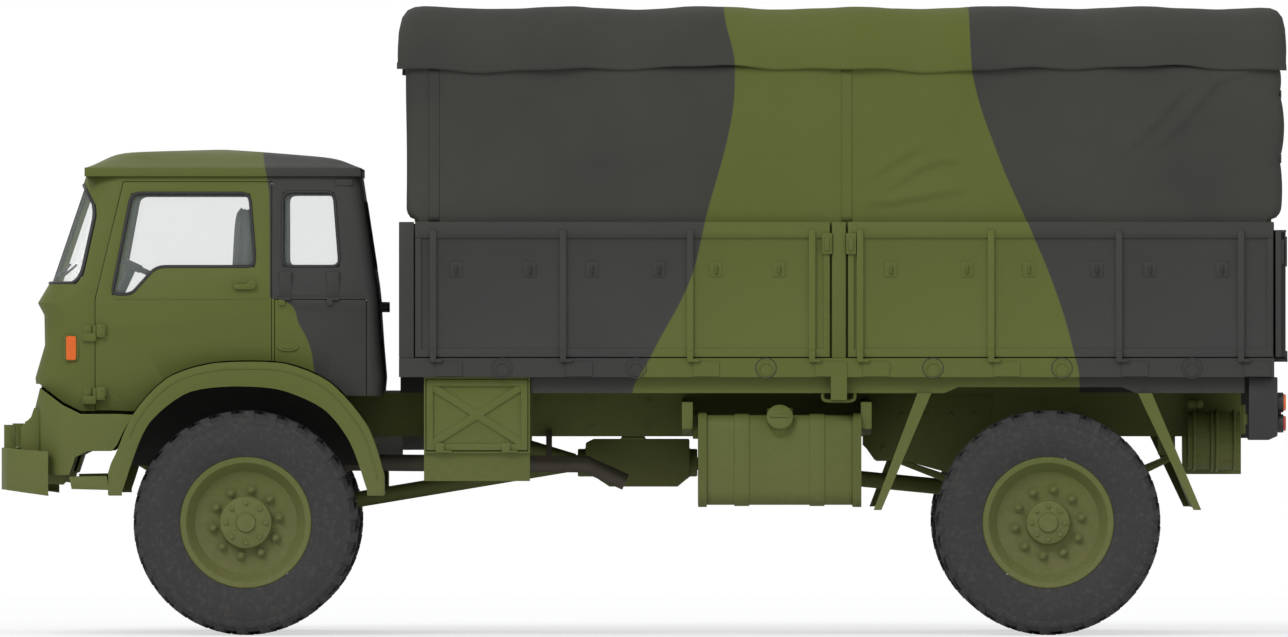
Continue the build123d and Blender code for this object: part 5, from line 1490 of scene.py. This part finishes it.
class TRUCK_OT_body_fittings(bpy.types.Operator):
    """Adds cleats, latches, lashing rings and pins to the load body"""
    bl_idname = "truck.body_fittings"
    bl_label = "Body fittings"

    def execute(self, context):
        for name, sign in sides():
            for end in ("front", "rear"):
                self.board(name, sign, end)
            self.sill(name, sign)
        self.tail()
        self.boards_top()
        return {"FINISHED"}

    def board(self, name, sign, end):
        """Rope cleats, the rolled top rail's lip and the latch of one drop side."""
        bm = bmesh.new()
        for x in CLEATS[end]:
            box(bm, (x - 0.030, sign * (BOARD_HALF - 0.002), 1.793),
                (x + 0.030, sign * (BOARD_HALF + 0.004), 1.868))
            hook = ((0.002, 1.806), (0.012, 1.812), (0.016, 1.832), (0.016, 1.856))
            tube(bm, [(x, sign * (BOARD_HALF + out), z) for out, z in hook], 0.0055, 8)
        x = LATCHES[end]
        box(bm, (x - 0.025, sign * 1.214, 1.907), (x + 0.025, sign * 1.236, 2.012))
        box(bm, (x - 0.012, sign * 1.230, 1.925), (x + 0.012, sign * 1.243, 1.990))
        outwards(bm)
        soften(bm, 0.002, 2)
        node = f"drop_side_{end}_{name}"
        low, high = corners(node)
        rail = bmesh.new()
        z = high.z - 0.004
        box(rail, (low.x, sign * (SILL_HALF - 0.001), z - 0.074),
            (high.x, sign * (SILL_HALF + 0.0035), z - 0.068))
        copy_into(bm, rail)
        rail.free()
        finish_piece(f"side_fittings_{end}_{name}", bm, node, "body_paint", (), 35)

    def sill(self, name, sign):
        """Lashing rings with their backing plates, a thin near-black ring round each plate as painted shade
        at its edge, and the bracket under the middle post.
        """
        bm, shade_rings = bmesh.new(), bmesh.new()
        for x in RINGS:
            # A thin near-black ring round the backing plate: painted shade along its edge.
            y = sign * (SILL_HALF + 0.0006)
            rim = [(x + 0.051 * cosine, y, RING_Z + 0.051 * sine) for cosine, sine in circle(40)]
            tube(shade_rings, rim, 0.0024, 6, closed=True)
            y = sign * (SILL_HALF + 0.0012)
            rod(bm, (x, sign * (SILL_HALF - 0.004), RING_Z), (x, y, RING_Z), 0.051, 40)
            points = [(x + 0.034 * cosine * (1.0 if sine < 0.3 else 0.8), y, RING_Z - 0.005 + 0.034 * sine)
                      for cosine, sine in circle(28)]
            tube(bm, points, 0.0045, 10, closed=True)
            box(bm, (x - 0.014, sign * SILL_HALF, 1.360), (x + 0.014, sign * (SILL_HALF + 0.005), 1.374))
        for x, width in HINGE_PLATES:
            for bolt in (x + 0.02, x + width - 0.02):
                rod(bm, (bolt, sign * SILL_HALF, BOLT_Z), (bolt, sign * (SILL_HALF + 0.0058), BOLT_Z), 0.009,
                    6)
        y = sign * 1.150
        bracket = [(0.892, y, 1.214), (0.892, y, 1.172), (1.052, y, 1.172), (1.052, y, 1.214)]
        tube(bm, eased(bracket, 0.035, closed=False), 0.009, 10)
        outwards(bm)
        for x in (0.9315, 1.0125):
            box(bm, (x - 0.012, sign * 1.176, 1.395), (x + 0.012, sign * 1.182, 2.060))
        finish_piece(f"sill_fittings_{name}", bm, "chassis", "body_paint", (), 40)
        outwards(shade_rings)
        finish_piece(f"sill_shade_rings_{name}", shade_rings, "chassis", "seal", (), 40)

    def tail(self):
        """Fasteners, rope cleats, two pairs of steps and the top lip of the tailboard."""
        bm = bmesh.new()
        low, high = corners("tailboard")
        x = low.x
        for sign in (-1, 1):
            y = sign * 1.185
            box(bm, (x + 0.026, y - 0.026, 1.86), (x + 0.042, y + 0.026, 1.98))
            rod(bm, (x + 0.050, y, 1.845), (x + 0.050, y, 1.995), 0.009, 16)
            tube(bm, [(x + 0.045, y, 1.99), (x + 0.045, y - sign * 0.05, 1.995),
                      (x + 0.045, y - sign * 0.055, 1.94)], 0.006, 8)
            for z in (1.50, 1.75):
                step = [(x + 0.024, sign * 0.70, z), (x + 0.052, sign * 0.70, z),
                        (x + 0.052, sign * 0.90, z), (x + 0.024, sign * 0.90, z)]
                tube(bm, eased(step, 0.015, closed=False), 0.008, 8)
        for y in (-0.81, -0.27, 0.27, 0.81):
            box(bm, (x + 0.026, y - 0.03, 1.80), (x + 0.033, y + 0.03, 1.875))
            rod(bm, (x + 0.03, y, 1.83), (x + 0.046, y, 1.845), 0.006, 10)
        box(bm, (x + 0.024, -1.21, high.z - 0.012), (high.x - 0.010, 1.21, high.z))
        outwards(bm)
        soften(bm, 0.0018, 1)
        finish_piece("tailboard_fittings", bm, "tailboard", "body_paint", (), 40)

    def boards_top(self):
        """Deck boards under the load, with bolt heads on the bearers."""
        bm = bmesh.new()
        width = 2 * DECK_HALF / DECK_BOARDS
        for k in range(DECK_BOARDS):
            y = -DECK_HALF + k * width
            box(bm, (DECK_FRONT, y + 0.002, 1.3868), (DECK_REAR, y + width - 0.002, 1.3888))
        for x in BEARERS:
            for k in range(DECK_BOARDS):
                y = -DECK_HALF + (k + 0.5) * width
                rod(bm, (x, y, 1.3885), (x, y, 1.3898), 0.010, 10)
        finish_piece("deck_boards", bm, "chassis", "boards", (), 30)


# ---- seats and the cab's inside ----
SEAT_WIDTH = 0.48
CROWN, PULL, CHANNELS = 0.16, 0.05, 6  # how full, how drawn in at the seams, and how many stitched rolls


def cushion_form(bm, low, high, up="Z"):
    """A stuffed form between two corners: crowned on its broad faces, drawn in at its seams, with stitched
    channels across the top."""
    low, high = Vector(low), Vector(high)
    size = high - low
    made = bmesh.ops.create_cube(bm, size=2)["verts"]
    edges = dict.fromkeys(edge for vert in made for edge in vert.link_edges)
    bmesh.ops.subdivide_edges(bm, edges=list(edges), cuts=17, use_grid_fill=True)
    for vert in bm.verts:
        u, v, w = vert.co
        thick, across, along = (w, v, u) if up == "Z" else (u, v, w)
        edge_along = max(0.0, 1 - abs(along) ** 6)
        edge_across = max(0.0, 1 - abs(across) ** 6)
        puff = (edge_along * edge_across) ** 0.5
        stitch = math.sin((across + 1) / 2 * math.pi * CHANNELS)
        groove = 1 - 0.16 * math.exp(-(stitch / 0.16) ** 2) * puff
        thickness = (0.55 + 0.45 * puff) * (1 + CROWN * puff) / (1 + CROWN) * groove
        belly = 1 - PULL * (1 - thick * thick) * (max(abs(along), abs(across)) ** 8)
        round_along = 1 - 0.045 * abs(across) ** 5
        round_across = 1 - 0.045 * abs(along) ** 5
        along *= belly * round_along
        across *= belly * round_across
        thick *= thickness
        place = (along, across, thick) if up == "Z" else (thick, across, along)
        vert.co = low + Vector(((place[0] + 1) / 2 * size.x, (place[1] + 1) / 2 * size.y,
                                (place[2] + 1) / 2 * size.z))


class TRUCK_OT_seats(bpy.types.Operator):
    """Upholsters the two seats"""
    bl_idname = "truck.seats"
    bl_label = "Seats"

    def execute(self, context):
        low, high = corners("seat_cushions")
        back_low, back_high = corners("seat_backs")
        for name, sign in sides():
            inner, outer = (-high.y, -high.y + SEAT_WIDTH) if sign < 0 else (high.y - SEAT_WIDTH, high.y)
            bm = bmesh.new()
            cushion_form(bm, (low.x, inner, low.z), (high.x, outer, high.z))
            piece = finish_piece(f"seat_cushion_{name}", bm, "chassis", "vinyl",
                                 ["seat_cushions"], 180)
            bm = bmesh.new()
            cushion_form(bm, (back_low.x + 0.012, inner + 0.01, back_low.z),
                         (back_low.x + 0.118, outer - 0.01, back_high.z), "X")
            for vert in bm.verts:
                vert.co.x = vert.co.x + (vert.co.z - back_low.z) * 0.055 - 0.012
                vert.co.x = min(vert.co.x, back_high.x)
            piece = finish_piece(f"seat_back_{name}", bm, "chassis", "vinyl",
                                 ["seat_backs"], 180)
            self.piping(name, inner, outer, low, high)
        self.dash()
        return {"FINISHED"}

    def piping(self, name, inner, outer, low, high):
        """The cord sewn round the cushion's upper edge."""
        bm = bmesh.new()
        z = (low.z + high.z) / 2 + 0.026
        ring = [(low.x + 0.014, inner + 0.014, z), (high.x - 0.014, inner + 0.014, z),
                (high.x - 0.014, outer - 0.014, z), (low.x + 0.014, outer - 0.014, z)]
        tube(bm, eased(ring, 0.05), 0.005, 8, closed=True)
        outwards(bm)
        finish_piece(f"seat_piping_{name}", bm, "chassis", "plastic", (), 60)

    def dash(self):
        """Gauges, switches, pedals, gear lever and hand brake."""
        bm = bmesh.new()
        face_x = -2.752
        for y, r in ((0.52, 0.045), (0.64, 0.060), (0.77, 0.045), (0.86, 0.028)):
            rod(bm, (face_x, y, 1.735), (face_x + 0.016, y, 1.735), r, 32)
        for k in range(6):
            rod(bm, (face_x, 0.22 + k * 0.04, 1.700), (face_x + 0.02, 0.22 + k * 0.04, 1.700), 0.007, 10)
        for y in (0.50, 0.60, 0.74):
            box(bm, (-2.700, y - 0.03, 1.262), (-2.688, y + 0.03, 1.330))
            rod(bm, (-2.705, y, 1.235), (-2.695, y, 1.27), 0.008, 10)
        lever = [(-2.42, 0.30, 1.22), (-2.44, 0.30, 1.48), (-2.50, 0.32, 1.66)]
        tube(bm, eased(lever, 0.05, closed=False), 0.009, 10)
        sphere(bm, (-2.50, 0.32, 1.67), 0.025)
        tube(bm, [(-2.44, 0.20, 1.22), (-2.52, 0.20, 1.56)], 0.011, 10)
        outwards(bm)
        finish_piece("dash_fittings", bm, "chassis", "plastic", (), 40)


# ---- underside ----
class TRUCK_OT_underside(bpy.types.Operator):
    """Adds straps, caps, ribs, spring clamps, dampers and pipes below the frame"""
    bl_idname = "truck.underside"
    bl_label = "Underside"

    def execute(self, context):
        self.tank()
        self.reservoirs()
        self.springs()
        self.hangers()
        self.pipes()
        return {"FINISHED"}

    def tank(self):
        """Two ribbed straps round the fuel tank, and its filler with the cap."""
        bm = bmesh.new()
        front, rear, side = 0.272, 1.082, 1.150
        section = [(-0.560, 1.108), (-1.156, 1.108), (-1.156, 0.646), (-0.554, 0.646)]
        rim = eased([(0, y, z) for y, z in section], 0.075)
        for x in (front + 0.018, rear - 0.018):
            for shift in (-0.016, -0.008, 0.0, 0.008, 0.016):
                tube(bm, [(x + shift, p.y, p.z) for p in rim], 0.006, 6, closed=True)
        x, y = (front + rear) / 2, -side
        rod(bm, (x, y + 0.050, 0.995), (x, y - 0.006, 1.070), 0.046, 28)
        rod(bm, (x, y + 0.010, 1.080), (x, y - 0.020, 1.094), 0.066, 36)
        rod(bm, (x, y - 0.020, 1.094), (x, y - 0.026, 1.0968), 0.066, 36, 0.056)
        box(bm, (x - 0.050, y - 0.034, 1.091), (x + 0.050, y - 0.022, 1.105))
        outwards(bm)
        finish_piece("tank_fittings", bm, "chassis", "frame_paint", (), 45)

    def reservoirs(self):
        """The air reservoirs' round drums with their ribs, and the drain cocks above them."""
        bm = bmesh.new()
        high = corners("air_reservoirs")[1]
        x0, x1 = 2.728, 2.993
        ribs = ((x0 + 0.032, 0.147), (x0 + 0.120, 0.149), (x0 + 0.145, 0.149), (x1 - 0.032, 0.147))
        for sign in (-1, 1):
            y, z = sign * (high.y - 0.145), 0.972
            for x, reach in ribs:
                ring = [(x, y + reach * cosine, z + reach * sine) for cosine, sine in circle(48)]
                tube(bm, ring, 0.008, 8, closed=True)
            rod(bm, (x0 + 0.005, y, z), (x1 - 0.005, y, z), 0.1455, 64)
            rod(bm, (x0 + 0.004, sign * 0.60, 1.155), (x0 + 0.042, sign * 0.60, 1.155), 0.028, 16)
            sphere(bm, (x0 + 0.055, sign * 0.60, 1.155), 0.026)
            rod(bm, (x0 + 0.020, sign * 0.60, 1.155), (x0 + 0.020, sign * 0.60, 1.098), 0.010, 12)
        outwards(bm)
        finish_piece("reservoir_ribs", bm, "chassis", "frame_paint", (), 45)

    def springs(self):
        """U-bolts with their plates, and a damper, at each spring."""
        bm = bmesh.new()
        for tyre in ("tyre_front_left", "tyre_rear_left"):
            low, high = corners(tyre)
            x, z = (low.x + high.x) / 2, (low.z + high.z) / 2
            for sign in (-1, 1):
                y = sign * 0.392
                for shift in (-0.060, 0.060):
                    loop = [(x + shift, y - 0.042, z + 0.175), (x + shift, y - 0.042, z - 0.080),
                            (x + shift, y + 0.042, z - 0.080), (x + shift, y + 0.042, z + 0.175)]
                    tube(bm, loop, 0.009, 8)
                box(bm, (x - 0.095, y - 0.058, z + 0.150), (x + 0.095, y + 0.058, z + 0.163))
                box(bm, (x - 0.090, y - 0.055, z - 0.078), (x + 0.090, y + 0.055, z - 0.066))
                rod(bm, (x + 0.13, sign * 0.462, z + 0.02), (x + 0.20, sign * 0.462, z + 0.52), 0.026, 20)
                rod(bm, (x + 0.145, sign * 0.462, z + 0.13), (x + 0.19, sign * 0.462, z + 0.45), 0.036, 20)
                rod(bm, (x + 0.13, sign * 0.44, z + 0.02), (x + 0.13, sign * 0.395, z + 0.0), 0.014, 12)
        outwards(bm)
        finish_piece("spring_clamps_and_dampers", bm, "chassis", "frame_paint", (), 40)

    def hangers(self):
        """Bracket plates that carry the front eyes of the rear springs."""
        bm = bmesh.new()
        outline = [(1.105, 1.195), (1.105, 0.945), (1.125, 0.925), (1.165, 0.868), (1.225, 0.868),
                   (1.250, 0.885), (1.560, 0.800), (1.700, 0.860), (1.760, 1.195)]
        for side in (-1, 1):
            outline_plate(bm, outline, side, 0.4295, 0.437)
            for x, z in ((1.20, 0.93), (1.30, 1.10), (1.42, 1.10), (1.54, 1.10), (1.66, 1.10)):
                rod(bm, (x, side * 0.432, z), (x, side * 0.447, z), 0.014, 6)
        soften(bm, 0.002, 2)
        finish_piece("spring_hangers", bm, "chassis", "frame_paint", (), 40)

    def pipes(self):
        """Brake pipes, the wiring loom, bolt rows on the frame, and the differentials with their bolts."""
        bm = bmesh.new()
        for sign in (-1, 1):
            y = sign * 0.405
            tube(bm, [(-2.9, y, 1.16), (-1.2, y, 1.16), (-1.1, y, 1.12), (2.9, y, 1.12)], 0.006, 8)
            tube(bm, [(-2.9, y, 1.13), (-1.3, y, 1.13), (-1.2, y, 1.09), (2.9, y, 1.09)], 0.0095, 8)
        for x in [-1.10 + k * 0.28 for k in range(15)]:
            for z in (1.040, 1.165):
                for sign in (-1, 1):
                    rod(bm, (x, sign * 0.429, z), (x, sign * 0.439, z), 0.011, 6)
        for tyre in ("tyre_front_left", "tyre_rear_left"):
            low, high = corners(tyre)
            x, z = (low.x + high.x) / 2, (low.z + high.z) / 2
            for cosine, sine in circle(12):
                for sign in (-1, 1):
                    rod(bm, (x + 0.148 * cosine, sign * 0.108, z + 0.148 * sine),
                        (x + 0.148 * cosine, sign * 0.117, z + 0.148 * sine), 0.010, 6)
            sphere(bm, (x, 0, z), 0.163, (1, 0.66, 1), 32)
        outwards(bm)
        finish_piece("frame_pipes_and_bolts", bm, "chassis", "frame_paint", (), 40)


# ---- stage ----
FLOOR_HALF = 16  # metres from the middle of the floor to its edge
FLOOR_GLOW = 0.6  # share of the floor's look that is its own light
SIDE_PLANE = -1.225  # the truck's side, where the camera's frame width is measured
AIM_X = -0.0025  # what the camera aims at, along the truck


class TRUCK_OT_stage(bpy.types.Operator):
    """Sets up the floor, the lights and the camera"""
    bl_idname = "truck.stage"
    bl_label = "Stage"

    def execute(self, context):
        scene = context.scene
        stage = scene.truck_stage
        scene.view_settings.view_transform = "Standard"
        self.floor()
        self.world(scene, stage)
        self.lamps(stage)
        self.camera(scene, stage)
        return {"FINISHED"}

    def floor(self):
        """A wide pale floor that glows a little where the camera sees it."""
        bm = bmesh.new()
        bmesh.ops.create_grid(bm, x_segments=1, y_segments=1, size=FLOOR_HALF)
        mesh = bpy.data.meshes.new("floor")
        bm.to_mesh(mesh)
        bm.free()
        finish = Finish("pale_floor")
        finish.set(Base_Color=(0.86, 0.86, 0.86), Roughness=0.9)
        glow = finish.node("ShaderNodeEmission", {}, {"Color": (1, 1, 1)})
        share = finish.node("ShaderNodeLightPath", {}, {}, "Is Camera Ray") * FLOOR_GLOW
        surface_shader = Value(finish, finish.shader.outputs[0])
        blend = finish.node("ShaderNodeMixShader", {}, {0: share, 1: surface_shader, 2: glow})
        finish.feed(finish.output.inputs[0], blend)
        mesh.materials.append(finish.material)
        floor = bpy.data.objects.new("floor", mesh)
        bpy.context.scene.collection.objects.link(floor)

    def world(self, scene, stage):
        """Even light from all round, and plain white where the camera looks past the truck."""
        world = bpy.data.worlds.new("studio")
        scene.world = world
        world.use_nodes = True
        tree = world.node_tree
        tree.nodes.clear()
        output = tree.nodes.new("ShaderNodeOutputWorld")
        path = tree.nodes.new("ShaderNodeLightPath")
        seen = tree.nodes.new("ShaderNodeMath")
        seen.operation = "MAXIMUM"
        tree.links.new(path.outputs["Is Camera Ray"], seen.inputs[0])
        tree.links.new(path.outputs["Is Transmission Ray"], seen.inputs[1])
        light = tree.nodes.new("ShaderNodeBackground")
        light.inputs["Color"].default_value = (0.97, 0.985, 1.0, 1)
        light.inputs["Strength"].default_value = stage.sky
        white = tree.nodes.new("ShaderNodeBackground")
        white.inputs["Color"].default_value = (1, 1, 1, 1)
        white.inputs["Strength"].default_value = 1.0
        mix = tree.nodes.new("ShaderNodeMixShader")
        tree.links.new(seen.outputs[0], mix.inputs[0])
        tree.links.new(light.outputs[0], mix.inputs[1])
        tree.links.new(white.outputs[0], mix.inputs[2])
        tree.links.new(mix.outputs[0], output.inputs[0])

    def lamps(self, stage):
        """Three soft suns: name, direction, share of the key light's strength, and spread."""
        for name, turn, share, spread in (("key", (0.85, 0.0, -0.55), 1.0, 0.5),
                                          ("fill", (1.15, 0.0, 0.75), 0.3, 1.2),
                                          ("back", (-0.9, 0.0, 0.5), 0.55, 0.9)):
            lamp = bpy.data.lights.new(name, "SUN")
            lamp.energy = stage.key * share
            lamp.angle = spread
            obj = bpy.data.objects.new(name, lamp)
            obj.rotation_euler = turn
            bpy.context.scene.collection.objects.link(obj)

    def camera(self, scene, stage):
        """A very long lens square to the truck's left side."""
        camera = bpy.data.cameras.new("side_view")
        camera.sensor_width = 36
        camera.lens = stage.lens
        camera.clip_start = 1
        camera.clip_end = 400
        obj = bpy.data.objects.new("side_view", camera)
        away = stage.frame_width * stage.lens / camera.sensor_width
        obj.location = (AIM_X, SIDE_PLANE - away, stage.aim_height)
        obj.rotation_euler = (math.pi / 2, 0, 0)
        scene.collection.objects.link(obj)
        scene.camera = obj


class TRUCK_PT_panel(bpy.types.Panel):
    """Lists the truck's pieces in the sidebar"""
    bl_idname = "TRUCK_PT_panel"
    bl_label = "Cargo truck"
    bl_space_type = "VIEW_3D"
    bl_region_type = "UI"
    bl_category = "Truck"

    def draw(self, context):
        """A button for each operator, then every size and colour."""
        layout = self.layout
        for operator in OPERATORS:
            layout.operator(operator.bl_idname)
        for group in GROUPS:
            holder = getattr(context.scene, group)
            column = layout.column()
            for name in holder.bl_rna.properties.keys():
                if name not in ("rna_type", "name"):
                    column.prop(holder, name)


OPERATORS = (TRUCK_OT_paint, TRUCK_OT_metal, TRUCK_OT_tyres, TRUCK_OT_wheels, TRUCK_OT_tilt,
             TRUCK_OT_windows, TRUCK_OT_cab_fittings, TRUCK_OT_lamps, TRUCK_OT_body_fittings,
             TRUCK_OT_seats, TRUCK_OT_underside, TRUCK_OT_stage)
GROUPS = {"truck_paint": TruckPaint, "truck_tyres": TyreSizes, "truck_canvas": CanvasSizes,
          "truck_stage": StageSettings}


def register():
    """Adds the operators, the panel and the settings to Blender."""
    for kind in (*GROUPS.values(), *OPERATORS, TRUCK_PT_panel):
        bpy.utils.register_class(kind)
    for name, group in GROUPS.items():
        setattr(bpy.types.Scene, name, bpy.props.PointerProperty(type=group))


def unregister():
    """Takes them away again."""
    for name in GROUPS:
        delattr(bpy.types.Scene, name)
    for kind in (*GROUPS.values(), *OPERATORS, TRUCK_PT_panel):
        bpy.utils.unregister_class(kind)


def main():
    """Registers the add-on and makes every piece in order."""
    register()
    for operator in OPERATORS:
        family, name = operator.bl_idname.split(".")
        getattr(getattr(bpy.ops, family), name)()


if __name__ == "__main__":
    main()
